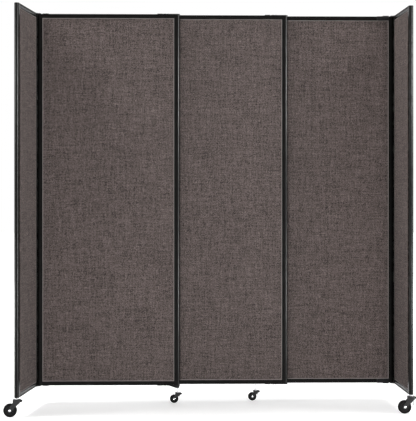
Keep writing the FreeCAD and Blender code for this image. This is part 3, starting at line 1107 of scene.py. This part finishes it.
@dataclass
class Panel:
    """A framed panel of two stiles, two rails, a board and a cloth on each face."""

    finishes: Finishes
    name: str
    stiles: tuple[str, str]
    place: Place
    bolt_start: float
    sizes: FrameSizes = field(default_factory=FrameSizes)
    bolt_width: float = 2.4
    cloth_face: float = 9.0 * MM
    cloth_thickness: float = 0.9 * MM
    cloth_tuck: float = 9.5 * MM
    cloth_crown: float = 0.8 * MM
    crown_reach: float = 30 * MM
    cloth_step: float = 22 * MM
    edge_lines: tuple[float, ...] = (0.0, 0.9, 1.1, 1.5, 2.0, 2.8, 3.6)
    # How far into the frame's opening the cloth's painted edge highlight reaches.
    painted_edge_highlight: float = 2 * MM

    @classmethod
    def sliding(cls, finishes: Finishes, name: str, stiles: tuple[str, str], bolt_start: float) -> "Panel":
        """A panel that runs along X, placed by its two stiles.

        Args:
            finishes: the materials.
            name: the panel's body.
            stiles: the words for its left and right stile.
            bolt_start: where along the bolt its cloth is cut.

        Returns:
            The panel.
        """
        low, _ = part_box(f"{name}_{stiles[0]}_stile")
        _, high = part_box(f"{name}_{stiles[1]}_stile")
        start = Vector((low.x, (low.y + high.y) / 2, low.z))
        place = Place(start, Vector((1, 0, 0)), high.x - low.x, high.z - low.z)
        return cls(finishes, name, stiles, place, bolt_start)

    @classmethod
    def wing(cls, finishes: Finishes, name: str, stiles: tuple[str, str], bolt_start: float) -> "Panel":
        """A hinged panel, placed by its hinge pin and its caster.

        Args:
            finishes: the materials.
            name: the panel's body.
            stiles: the words for its hinge stile and its outer stile.
            bolt_start: where along the bolt its cloth is cut.

        Returns:
            The panel.
        """
        nose = FrameSizes().nose
        low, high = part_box(f"{name}_{stiles[0]}_stile")
        pin = joint_place(f"{name}_pivot")
        foot = joint_place(f"{name}_caster_swivel")
        reach = Vector((foot.x - pin.x, foot.y - pin.y, 0))
        along = reach.normalized()
        start = Vector((pin.x, pin.y, low.z)) - along * nose
        place = Place(start, along, reach.length + 2 * nose, high.z - low.z)
        return cls(finishes, name, stiles, place, bolt_start)

    def build(self) -> None:
        """Make and dress the panel's pieces."""
        for stile, is_far in zip(self.stiles, (False, True)):
            self._stile(f"{self.name}_{stile}_stile", is_far)
        for end in End:
            self._rail(f"{self.name}_{end.name.lower()}_rail", end)
        for face in Face:
            self._cloth(face)
        board = frame["nodes"][f"{self.name}_board"]
        board.data.materials.clear()
        board.data.materials.append(self.finishes.board)

    def _frame_piece(self, node: str, shape: Shape) -> None:
        """Finish an extrusion that stands for a CAD node, which frees its shape."""
        piece = finished(f"{node}_extrusion", shape, self.finishes.extrusion)
        settle(piece, self.name, node)

    def _stile(self, node: str, is_far: bool) -> None:
        """Make an upright with a round nose, a bore and a slot for the board.

        Args:
            node: the CAD node that it stands for.
            is_far: whether it is at the panel's far end.
        """
        sizes = self.sizes
        nose, width, slot = sizes.nose, sizes.stile_width, sizes.slot_width / 2
        floor = width - sizes.slot_depth
        lips = [
            Corner(width, -nose, sizes.lip_round),
            Corner(width, -slot, sizes.lip_round),
            Corner(floor, -slot),
            Corner(floor, slot),
            Corner(width, slot, sizes.lip_round),
            Corner(width, nose, sizes.lip_round),
        ]
        ends = [Corner(nose, nose), Corner(nose, -nose)]
        straight = softened_outline(lips + ends)[:-2]
        outline = straight + arc((nose, 0.0), nose, 90, 270, sizes.nose_steps)
        bore = arc((nose, 0.0), sizes.bore_radius, 0, 360, sizes.bore_steps)[:-1]

        def spot(along: float, across: float, up: float) -> Vector:
            """The row-frame point of a point of the outline at a height."""
            return self.place.at(self.place.width - along if is_far else along, across, up)

        self._frame_piece(node, extrude((outline, bore), (0.0, self.place.height), spot))

    def _rail(self, node: str, end: End) -> None:
        """Make a level rail with a board slot and a track groove in each face.

        Args:
            node: the CAD node that it stands for.
            end: whether it is the top or the bottom rail.
        """
        sizes = self.sizes
        half, slot = sizes.nose, sizes.slot_width / 2
        low, high = sizes.track_edge, sizes.track_edge + sizes.track_height
        back = half - sizes.track_depth
        right = [
            Corner(half, 0.0, sizes.lip_round),
            Corner(half, low, sizes.track_round),
            Corner(back, low),
            Corner(back, high),
            Corner(half, high, sizes.track_round),
            Corner(half, sizes.rail_height, sizes.lip_round),
            Corner(slot, sizes.rail_height, sizes.lip_round),
            Corner(slot, sizes.rail_height - sizes.slot_depth),
        ]
        left = [Corner(-corner.across, corner.along, corner.radius) for corner in reversed(right)]

        def spot(across: float, up: float, along: float) -> Vector:
            """The row-frame point of a point of the outline at a distance along the rail."""
            return self.place.at(along, across, up if end is End.BOTTOM else self.place.height - up)

        span = (sizes.stile_width, self.place.width - sizes.stile_width)
        self._frame_piece(node, extrude((softened_outline(right + left),), span, spot))

    def _inset(self, along: float, up: float) -> float:
        """How far a point of the panel is inside the frame's opening, less than nothing in its slots."""
        sizes = self.sizes
        return min(
            along - sizes.stile_width,
            self.place.width - sizes.stile_width - along,
            up - sizes.rail_height,
            self.place.height - sizes.rail_height - up,
        )

    def _swell(self, inset: float) -> float:
        """How far the cloth stands off the board's face at a distance inside the opening."""
        share = min(max(inset / self.crown_reach, 0.0), 1.0)
        return self.cloth_crown * share * (2 - share)

    def _stations(self, first: float, last: float) -> list[float]:
        """Grid lines across the cloth, close together near its edges.

        Args:
            first: where the cloth starts.
            last: where it ends.

        Returns:
            The distances of the lines.
        """
        edge = [self.cloth_tuck * share for share in self.edge_lines]
        low = [first + step for step in edge]
        high = [last - step for step in reversed(edge)]
        count = math.ceil((high[0] - low[-1]) / self.cloth_step)
        middle = [low[-1] + (high[0] - low[-1]) * step / count for step in range(1, count)]
        return low + middle + high

    def _cloth(self, face: Face) -> None:
        """Stretch a sheet of cloth over one face of the board, with its edges in the frame's slots.

        Args:
            face: the panel's face.
        """
        sizes, place = self.sizes, self.place
        first = (sizes.stile_width - self.cloth_tuck, sizes.rail_height - self.cloth_tuck)
        last = (place.width - first[0], place.height - first[1])
        columns = self._stations(first[0], last[0])
        rows = self._stations(first[1], last[1])
        shape = bmesh.new()
        uv = shape.loops.layers.uv.verify()
        tuck = shape.verts.layers.float.new(PAINTED_HIGHLIGHT_ATTRIBUTE)
        bolt = (self.bolt_start, self.bolt_width if face is Face.BACK else 0.0)
        spots: dict[bmesh.types.BMVert, Pair] = {}
        layers = []
        for depth in (0.0, self.cloth_thickness):
            layer = []
            for up in rows:
                line = []
                for along in columns:
                    inset = self._inset(along, up)
                    stand = self.cloth_face + (self._swell(inset) if depth == 0.0 else -depth)
                    vertex = shape.verts.new(place.at(along, face.value * stand, up))
                    # Points in the slots or near the frame get the painted edge highlight in full.
                    vertex[tuck] = 1.0 if inset < self.painted_edge_highlight else 0.0
                    spots[vertex] = (bolt[0] + along, bolt[1] + up)
                    line.append(vertex)
                layer.append(line)
            layers.append(layer)
        for layer in layers:
            for low, high in zip(layer, layer[1:]):
                for index in range(len(columns) - 1):
                    shape.faces.new((low[index], low[index + 1], high[index + 1], high[index]))
        rims = [self._rim(layer) for layer in layers]
        for index in range(len(rims[0])):
            outer, inner = rims[0], rims[1]
            shape.faces.new((outer[index - 1], outer[index], inner[index], inner[index - 1]))
        for item in shape.faces:
            for loop in item.loops:
                loop[uv].uv = spots[loop.vert]
        piece = finished(f"{self.name}_{face.name.lower()}_cloth", shape, self.finishes.cloth)
        settle(piece, self.name, f"{self.name}_fabric")

    @staticmethod
    def _rim(layer: list[list[bmesh.types.BMVert]]) -> list[bmesh.types.BMVert]:
        """The points round the edge of a grid, in order.

        Args:
            layer: the grid, row by row.

        Returns:
            The edge's points.
        """
        right = [line[-1] for line in layer[1:-1]]
        left = [line[0] for line in layer[1:-1]]
        return layer[0] + right + layer[-1][::-1] + left[::-1]


# Sliding gear and hinges


@dataclass
class SlidingGear:
    """The moulded shoes and travel stops of the sliding panels, with their screws."""

    finishes: Finishes
    tools: Tools
    panels: dict[str, Panel]
    edge_round: float = 0.9 * MM
    flange: float = 3 * MM
    shoe_screws: tuple[float, float] = (69 * MM, 86 * MM)
    stop_screw: float = 54 * MM
    rail_screws: tuple[float, float] = (81 * MM, 99 * MM)
    screw: ScrewSize = field(default_factory=ScrewSize)

    def build(self) -> None:
        """Make the mouldings and drive their screws."""
        mouldings = {
            "left_panel": ("top_shoe", "bottom_shoe", "stops"),
            "middle_panel": ("left_shoes", "right_shoes"),
            "right_panel": ("top_shoe", "bottom_shoe", "stops"),
        }
        for body, names in mouldings.items():
            for word in names:
                node = f"{body}_{word}"
                piece = softened_copy(f"{node}_moulding", node, self.edge_round, self.finishes.plastic)
                settle(piece, body, node)
        self._screw("left_panel", near=(self.stop_screw,), far=self.shoe_screws)
        self._screw("middle_panel", near=self.shoe_screws, far=self.shoe_screws)
        self._screw("right_panel", near=self.shoe_screws, far=(self.stop_screw,))

    def _screw(self, body: str, near: Sequence[float], far: Sequence[float]) -> None:
        """Drive the screws of one panel's mouldings.

        Args:
            body: the panel.
            near: distances of the screws from the panel's near end.
            far: distances of the screws from its far end.
        """
        place = self.panels[body].place
        stations = [*near, *(place.width - distance for distance in far)]
        seats = []
        for end in End:
            level = place.height + self.flange if end is End.TOP else -self.flange
            seats += [(place.at(station, 0.0, level), UP * end.value) for station in stations]
        if body == "right_panel":
            seats += [(place.at(place.width - step, 0.0, place.height), UP) for step in self.rail_screws]
        finish = self.finishes.coated_steel
        piece = self.tools.screws.drive(f"{body}_screws", seats, finish, self.screw)
        settle(piece, body)


@dataclass
class HingeLinks:
    """The pair of flat links at one outer corner, with a headed pin into each stile."""

    finishes: Finishes
    side: str
    low: float
    high: float
    play: float = 0.5 * MM
    plate_radius: float = 11 * MM
    plate_thickness: float = 4 * MM
    plate_round: float = 0.7 * MM
    plate_steps: int = 16
    pin_radius: float = 5 * MM
    pin_depth: float = 45 * MM
    head_radius: float = 7 * MM
    head_height: float = 2.5 * MM

    def build(self) -> None:
        """Make both links and their pins."""
        pins = [joint_place(f"{self.side}_{word}_pivot") for word in ("link", "wing")]
        plates = bmesh.new()
        heads = bmesh.new()
        for end in End:
            level = self.high if end is End.TOP else self.low
            way = UP * end.value
            seats = [Vector((pin.x, pin.y, level)) + way * self.play for pin in pins]
            self._plate(plates, seats, way)
            for seat in seats:
                self._pin(heads, seat, way)
        for word, shape in (("plates", plates), ("pins", heads)):
            piece = finished(f"{self.side}_hinge_{word}", shape, self.finishes.coated_steel)
            settle(piece, f"{self.side}_link", f"{self.side}_hinge_links")

    def _plate(self, shape: Shape, seats: Sequence[Vector], way: Vector) -> None:
        """Add a flat link with round ends and rounded edges.

        Args:
            shape: the shape that is added to.
            seats: the lower centres of its two round ends.
            way: the way out of the panel.
        """
        first, second = seats
        along = (second - first).normalized()
        side = way.cross(along)
        reach = (second - first).length
        layers = []
        for inset, rise in (
            (self.plate_round, 0.0),
            (0.0, self.plate_round),
            (0.0, self.plate_thickness - self.plate_round),
            (self.plate_round, self.plate_thickness),
        ):
            radius = self.plate_radius - inset
            far_end = arc((reach, 0.0), radius, -90, 90, self.plate_steps)
            outline = far_end + arc((0.0, 0.0), radius, 90, 270, self.plate_steps)
            spots = [first + along * ahead + side * aside + way * rise for ahead, aside in outline]
            layers.append([shape.verts.new(spot) for spot in spots])
        for low, high in zip(layers, layers[1:]):
            for index in range(len(low)):
                shape.faces.new((low[index - 1], low[index], high[index], high[index - 1]))
        shape.faces.new(layers[0])
        shape.faces.new(layers[-1])

    def _pin(self, shape: Shape, seat: Vector, way: Vector) -> None:
        """Add a pin with a domed head on the link and its shank down in the stile.

        Args:
            shape: the shape that is added to.
            seat: the centre of the link's face next to the panel.
            way: the way out of the panel.
        """
        top = self.plate_thickness
        shank = [(0.0, -self.pin_depth), (self.pin_radius, -self.pin_depth), (self.pin_radius, top)]
        turn(shape, shank + dome(self.head_radius, self.head_height, top), seat, way)


# Casters


@dataclass(frozen=True)
class CasterSizes:
    """A caster's sizes."""

    wheel_radius: float
    wheel_width: float
    tread_round: float
    rim_radius: float
    hub_radius: float
    axle_radius: float
    axle_head_radius: float
    fork_width: float
    crown_top: float
    crown_height: float
    pedal_reach: float
    pedal_width: float
    toe_radius: float
    tongue_length: float
    spokes: int
    axle_head_height: float = 2.5 * MM
    dish_depth: float = 2 * MM
    rib_share: float = 0.8
    tread_steps: int = 8
    axle_play: float = 0.05 * MM
    stem_radius: float = 5 * MM
    stem_top: float = 166 * MM
    collar_radius: float = 9 * MM
    collar_height: float = 4 * MM
    swivel_play: float = 0.3 * MM
    pedal_thickness: float = 3.2 * MM
    pedal_roll: float = 3.5 * MM
    ridge_width: float = 0.8 * MM
    ridges: int = 3
    edge_round: float = 0.8 * MM


SMALL = CasterSizes(
    wheel_radius=25 * MM,
    wheel_width=18 * MM,
    tread_round=5 * MM,
    rim_radius=18 * MM,
    hub_radius=8 * MM,
    axle_radius=3 * MM,
    axle_head_radius=5 * MM,
    fork_width=27 * MM,
    crown_top=62 * MM,
    crown_height=12 * MM,
    pedal_reach=12 * MM,
    pedal_width=14 * MM,
    toe_radius=5 * MM,
    tongue_length=23 * MM,
    spokes=8,
)
LARGE = CasterSizes(
    wheel_radius=37.5 * MM,
    wheel_width=24 * MM,
    tread_round=7 * MM,
    rim_radius=27 * MM,
    hub_radius=11 * MM,
    axle_radius=4 * MM,
    axle_head_radius=7 * MM,
    fork_width=35 * MM,
    crown_top=98 * MM,
    crown_height=16 * MM,
    pedal_reach=14 * MM,
    pedal_width=18 * MM,
    toe_radius=6.5 * MM,
    tongue_length=44 * MM,
    spokes=10,
)


@dataclass
class Caster:
    """A braked swivel caster: stem, fork, wheel, axle and pedal."""

    finishes: Finishes
    tools: Tools
    name: str
    carrier: str
    sizes: CasterSizes

    def build(self) -> None:
        """Make and dress the caster's pieces."""
        self._stem()
        self._fork()
        self._wheel()
        self._axle()
        self._pedal()

    def _stem(self) -> None:
        """Turn the stem with its collar just above the fork's crown."""
        sizes = self.sizes
        foot = joint_place(f"{self.name}_swivel")
        low = sizes.crown_top + sizes.swivel_play
        high = low + sizes.collar_height
        edge = sizes.edge_round
        profile = [
            (0.0, sizes.crown_top - sizes.crown_height),
            (sizes.stem_radius, sizes.crown_top - sizes.crown_height),
            (sizes.stem_radius, low),
            (sizes.collar_radius - edge, low),
            (sizes.collar_radius, low + edge),
            (sizes.collar_radius, high - 2 * edge),
            (sizes.collar_radius - edge, high - edge),
            (sizes.stem_radius + 2 * edge, high - edge),
            (sizes.stem_radius + edge, high),
            (sizes.stem_radius, high),
            (sizes.stem_radius, sizes.stem_top - edge),
            (sizes.stem_radius - edge, sizes.stem_top),
            (0.0, sizes.stem_top),
        ]
        shape = bmesh.new()
        turn(shape, profile, Vector((foot.x, foot.y, 0.0)), UP)
        piece = finished(f"{self.name}_turned_stem", shape, self.finishes.zinc)
        settle(piece, self.carrier, f"{self.name}_stem")

    def _fork(self) -> None:
        """Round the edges of the fork."""
        node = f"{self.name}_yoke"
        finish = self.finishes.coated_steel
        piece = softened_copy(f"{self.name}_fork", node, self.sizes.edge_round, finish)
        settle(piece, f"{self.name}_fork", node)

    def _wheel(self) -> None:
        """Make the tread ring, the dished hub and the spokes in its dish."""
        sizes, finishes = self.sizes, self.finishes
        centre = joint_place(f"{self.name}_spin")
        body = f"{self.name}_wheel"
        half = sizes.wheel_width / 2
        corner = sizes.wheel_radius - sizes.tread_round
        shoulder = half - sizes.tread_round
        front = arc((corner, -shoulder), sizes.tread_round, -90, 0, sizes.tread_steps)
        back = arc((corner, shoulder), sizes.tread_round, 0, 90, sizes.tread_steps)
        tread = [(sizes.rim_radius, -half), *front, *back, (sizes.rim_radius, half)]
        dish = half - sizes.dish_depth
        edge = sizes.edge_round
        bore = sizes.axle_radius + sizes.axle_play
        near = [(sizes.rim_radius, dish), (sizes.hub_radius + edge, dish), (sizes.hub_radius, dish + edge)]
        near += [(sizes.hub_radius - edge, half), (bore, half)]
        hub = near + mirrored(near)
        for word, profile, finish in (("tread", tread, finishes.rubber), ("hub", hub, finishes.hub)):
            shape = bmesh.new()
            turn(shape, profile, centre, AXLE_WAY, steps=2 * ROUND_STEPS, closed=True)
            piece = finished(f"{self.name}_{word}", shape, finish)
            settle(piece, body, f"{self.name}_wheel")
        length = sizes.rim_radius - sizes.hub_radius
        rise = sizes.dish_depth * sizes.rib_share
        for face in Face:
            values = {
                "Count": sizes.spokes,
                "Ring_radius": sizes.hub_radius + length / 2,
                "Rib_size": (length, 2 * edge, rise),
                "Centre": centre,
                "Side": face.value * (dish + rise / 2),
            }
            name = f"{self.name}_{face.name.lower()}_spokes"
            piece = self.tools.spokes.run(name, bpy.data.meshes.new(name), finishes.hub, **values)
            settle(piece, body)

    def _axle(self) -> None:
        """Turn the axle with a domed cap outside each leg."""
        sizes = self.sizes
        half = sizes.fork_width / 2
        far = [(sizes.axle_radius, half), *dome(sizes.axle_head_radius, sizes.axle_head_height, half)]
        shape = bmesh.new()
        turn(shape, mirrored(far) + far, joint_place(f"{self.name}_spin"), AXLE_WAY)
        piece = finished(f"{self.name}_capped_axle", shape, self.finishes.zinc)
        settle(piece, f"{self.name}_fork", f"{self.name}_axle")

    def _pedal(self) -> None:
        """Make the foot lever, its ribbed toe, and the plated tongue that it swings onto the tread."""
        sizes, finishes = self.sizes, self.finishes
        body = f"{self.name}_pedal"
        node = f"{self.name}_brake_pedal"
        pivot = joint_place(f"{self.name}_brake")
        under_hub = Cut(pivot - UP * (sizes.pedal_roll - sizes.edge_round), UP)
        lever = softened_copy(f"{self.name}_lever", node, sizes.edge_round, finishes.plastic, under_hub)
        settle(lever, body, node)
        half = sizes.pedal_thickness / 2
        ends = (-sizes.edge_round, -sizes.tongue_length)
        corners = [Corner(-half, ends[0]), Corner(half, ends[0])]
        corners += [Corner(half, ends[1], sizes.edge_round), Corner(-half, ends[1], sizes.edge_round)]

        def spot(across: float, up: float, along: float) -> Vector:
            """The row-frame point of a point of the tongue's outline at a distance along the axle."""
            return pivot + Vector((across, along, up))

        span = (-sizes.pedal_width / 2, sizes.pedal_width / 2)
        shape = extrude((softened_outline(corners),), span, spot)
        tongue = finished(f"{self.name}_brake_tongue", shape, finishes.zinc)
        settle(tongue, body, node)
        toe = pivot + Vector((sizes.pedal_reach - sizes.pedal_roll, 0, 0))
        rims = [Corner(sizes.toe_radius, end, 2 * sizes.edge_round) for end in span]
        half_grip = softened_outline([Corner(0.0, span[0]), *rims, Corner(0.0, span[1])])
        shape = bmesh.new()
        turn(shape, half_grip, toe, AXLE_WAY)
        grip = finished(f"{self.name}_toe_grip", shape, finishes.plastic)
        settle(grip, body)
        ridge = (sizes.ridge_width, sizes.pedal_width - 4 * sizes.edge_round, sizes.ridge_width)
        step = 2 * sizes.ridge_width
        sunk = 2 * sizes.ridge_width / 3
        start = toe + Vector((-step * (sizes.ridges - 1) / 2, 0, sizes.toe_radius - sunk))
        name = f"{self.name}_grip_ridges"
        values = {"Count": sizes.ridges, "Start": start, "Step": (step, 0.0, 0.0), "Ridge_size": ridge}
        ridges = self.tools.ridges.run(name, bpy.data.meshes.new(name), finishes.plastic, **values)
        settle(ridges, body)


# Studio


class Falls(Enum):
    """What a light falls on: everything, matt surfaces alone, or glossy edges as a gleam."""

    ANYWHERE = "anywhere"
    MATT = "matt"
    GLOSS = "gloss"


@dataclass(frozen=True)
class SoftLight:
    """A soft light that points at a place."""

    name: str
    place: Point
    target: Point
    size: Pair
    power: float
    falls: Falls = Falls.ANYWHERE

    def build(self) -> None:
        """Hang the light."""
        lamp = bpy.data.lights.new(self.name, "AREA")
        lamp.shape = "RECTANGLE"
        lamp.size, lamp.size_y = self.size
        lamp.energy = self.power
        light = linked(self.name, lamp)
        light.location = self.place
        way = Vector(self.target) - Vector(self.place)
        light.rotation_euler = way.to_track_quat("-Z", "Y").to_euler()
        light.visible_camera = False
        light.visible_diffuse = self.falls is not Falls.GLOSS
        light.visible_glossy = self.falls is not Falls.MATT


@dataclass
class Studio:
    """A white floor and surround, soft lights and the photograph's camera."""

    image_size: tuple[int, int] = (416, 421)
    focal_pixels: float = 1245.2
    horizon_row: float = 191.1
    camera_place: Point = (-0.1432, -7.148, 1.2465)
    camera_yaw: float = 1.033
    sensor: float = 36.0
    far_clip: float = 100.0
    floor_reach: float = 30.0
    floor_tints: tuple[Colour, Colour] = ((0.88, 0.88, 0.88), (0.9, 0.9, 0.9))
    clouds_per_metre: float = 3.0
    fade: Pair = (1.6, 4.5)
    near_glow: float = 0.42
    surround: float = 0.27
    lights: tuple[SoftLight, ...] = (
        SoftLight("front_left_light", (-1.5, -4.2, 0.3), (-1.0, 0.1, 0.45), (0.8, 0.9), 51.0, Falls.MATT),
        SoftLight("front_right_light", (1.5, -4.2, 0.3), (1.0, 0.1, 0.45), (0.8, 0.9), 87.0, Falls.MATT),
        SoftLight("high_left_light", (-3.6, -0.3, 5.2), (1.1, 0.0, 0.6), (2.0, 2.0), 255.0),
        SoftLight("high_right_light", (3.6, -0.3, 5.2), (-1.1, 0.0, 0.6), (2.0, 2.0), 165.0),
        SoftLight("back_light", (0.0, 9.0, 4.0), (0.0, 0.2, 1.1), (5.0, 5.0), 300.0, Falls.MATT),
        SoftLight("upper_right_gleam", (4.6, -3.4, 2.35), (0.0, 0.2, 1.84), (2.0, 0.5), 950.0, Falls.GLOSS),
        SoftLight("lower_right_gleam", (4.6, -3.4, 0.22), (0.0, 0.2, 0.6), (2.0, 0.4), 600.0, Falls.GLOSS),
        SoftLight("upper_left_gleam", (-4.9, -3.4, 2.35), (0.0, 0.2, 1.84), (2.0, 0.5), 290.0, Falls.GLOSS),
        SoftLight("lower_left_gleam", (-4.9, -3.4, 0.22), (0.0, 0.2, 0.6), (2.0, 0.4), 210.0, Falls.GLOSS),
    )

    def build(self) -> None:
        """Set up the floor, the surround, the lights and the camera."""
        bpy.context.scene.view_settings.view_transform = "Standard"
        self._floor()
        self._surround()
        for light in self.lights:
            light.build()
        self._camera()

    @staticmethod
    def _seen(graph: Graph) -> Socket:
        """One for rays from the camera, from gloss or through glass, and nothing for the rest.

        Args:
            graph: the node tree that it is added to.

        Returns:
            The value's socket.
        """
        rays = graph.add("ShaderNodeLightPath").outputs
        bright = graph.math("MAXIMUM", rays["Is Camera Ray"], rays["Is Glossy Ray"])
        return graph.math("MAXIMUM", bright, rays["Is Transmission Ray"])

    def _floor(self) -> None:
        """Lay a white floor that keeps the shadow."""
        reach = self.floor_reach
        mesh = bpy.data.meshes.new("studio_floor")
        corners = [(-reach, -reach, 0), (reach, -reach, 0), (reach, reach, 0), (-reach, reach, 0)]
        mesh.from_pydata(corners, [], [(0, 1, 2, 3)])
        floor = linked("studio_floor", mesh)
        material = bpy.data.materials.new("white_floor")
        graph = cleared(material)
        spot = graph.add("ShaderNodeTexCoord").outputs["Object"]
        tint = graph.mix(graph.noise(spot, self.clouds_per_metre), *self.floor_tints)
        distance = graph.add("ShaderNodeVectorMath", {0: spot}, operation="LENGTH").outputs["Value"]
        far = graph.spread(distance, self.fade, (self.near_glow, 1.0))
        lift = graph.math("MULTIPLY", self._seen(graph), far)
        matt = graph.add("ShaderNodeBsdfDiffuse", {"Color": tint}).outputs[0]
        glow = graph.add("ShaderNodeEmission", {"Strength": lift}).outputs[0]
        surface = graph.add("ShaderNodeAddShader", {0: matt, 1: glow}).outputs[0]
        graph.add("ShaderNodeOutputMaterial", {"Surface": surface})
        mesh.materials.append(material)

    def _surround(self) -> None:
        """Light everything evenly, and show pure white to the camera and in reflections."""
        world = bpy.data.worlds.new("white_surround")
        graph = cleared(world)
        strength = graph.spread(self._seen(graph), (0.0, 1.0), (self.surround, 1.0))
        light = graph.add("ShaderNodeBackground", {"Color": (1, 1, 1, 1), "Strength": strength})
        graph.add("ShaderNodeOutputWorld", {"Surface": light.outputs[0]})
        bpy.context.scene.world = world

    def _camera(self) -> None:
        """Stand the camera where the photograph was taken from."""
        wide, tall = self.image_size
        long_side = max(wide, tall)
        lens = bpy.data.cameras.new("photo_camera")
        lens.sensor_width = self.sensor
        lens.lens = self.focal_pixels * self.sensor / long_side
        lens.shift_y = (self.horizon_row - tall / 2) / long_side
        lens.clip_end = self.far_clip
        camera = linked("photo_camera", lens)
        camera.location = self.camera_place
        camera.rotation_euler = (math.radians(90), 0.0, -math.radians(self.camera_yaw))
        bpy.context.scene.camera = camera


def main() -> None:
    """Build and dress the room divider and its studio."""
    logging.basicConfig(level=logging.INFO, format="%(name)s: %(message)s")
    finishes = Finishes()
    tools = Tools()
    panels = [
        Panel.sliding(finishes, "left_panel", ("hinge", "inner"), bolt_start=0.0),
        Panel.sliding(finishes, "middle_panel", ("left", "right"), bolt_start=1.0),
        Panel.sliding(finishes, "right_panel", ("inner", "hinge"), bolt_start=2.0),
        Panel.wing(finishes, "left_wing", ("hinge", "outer"), bolt_start=3.0),
        Panel.wing(finishes, "right_wing", ("hinge", "outer"), bolt_start=3.6),
    ]
    for panel in panels:
        panel.build()
    SlidingGear(finishes, tools, {panel.name: panel for panel in panels}).build()
    low = panels[0].place.start.z
    high = low + panels[0].place.height
    for side in ("left", "right"):
        HingeLinks(finishes, side, low, high).build()
    for name, carrier, sizes in (
        ("left_panel_caster", "left_panel", SMALL),
        ("right_panel_caster", "right_panel", SMALL),
        ("left_wing_caster", "left_wing", LARGE),
        ("right_wing_caster", "right_wing", LARGE),
    ):
        Caster(finishes, tools, name, carrier, sizes).build()
    Studio().build()


if __name__ == "__main__":
    main()
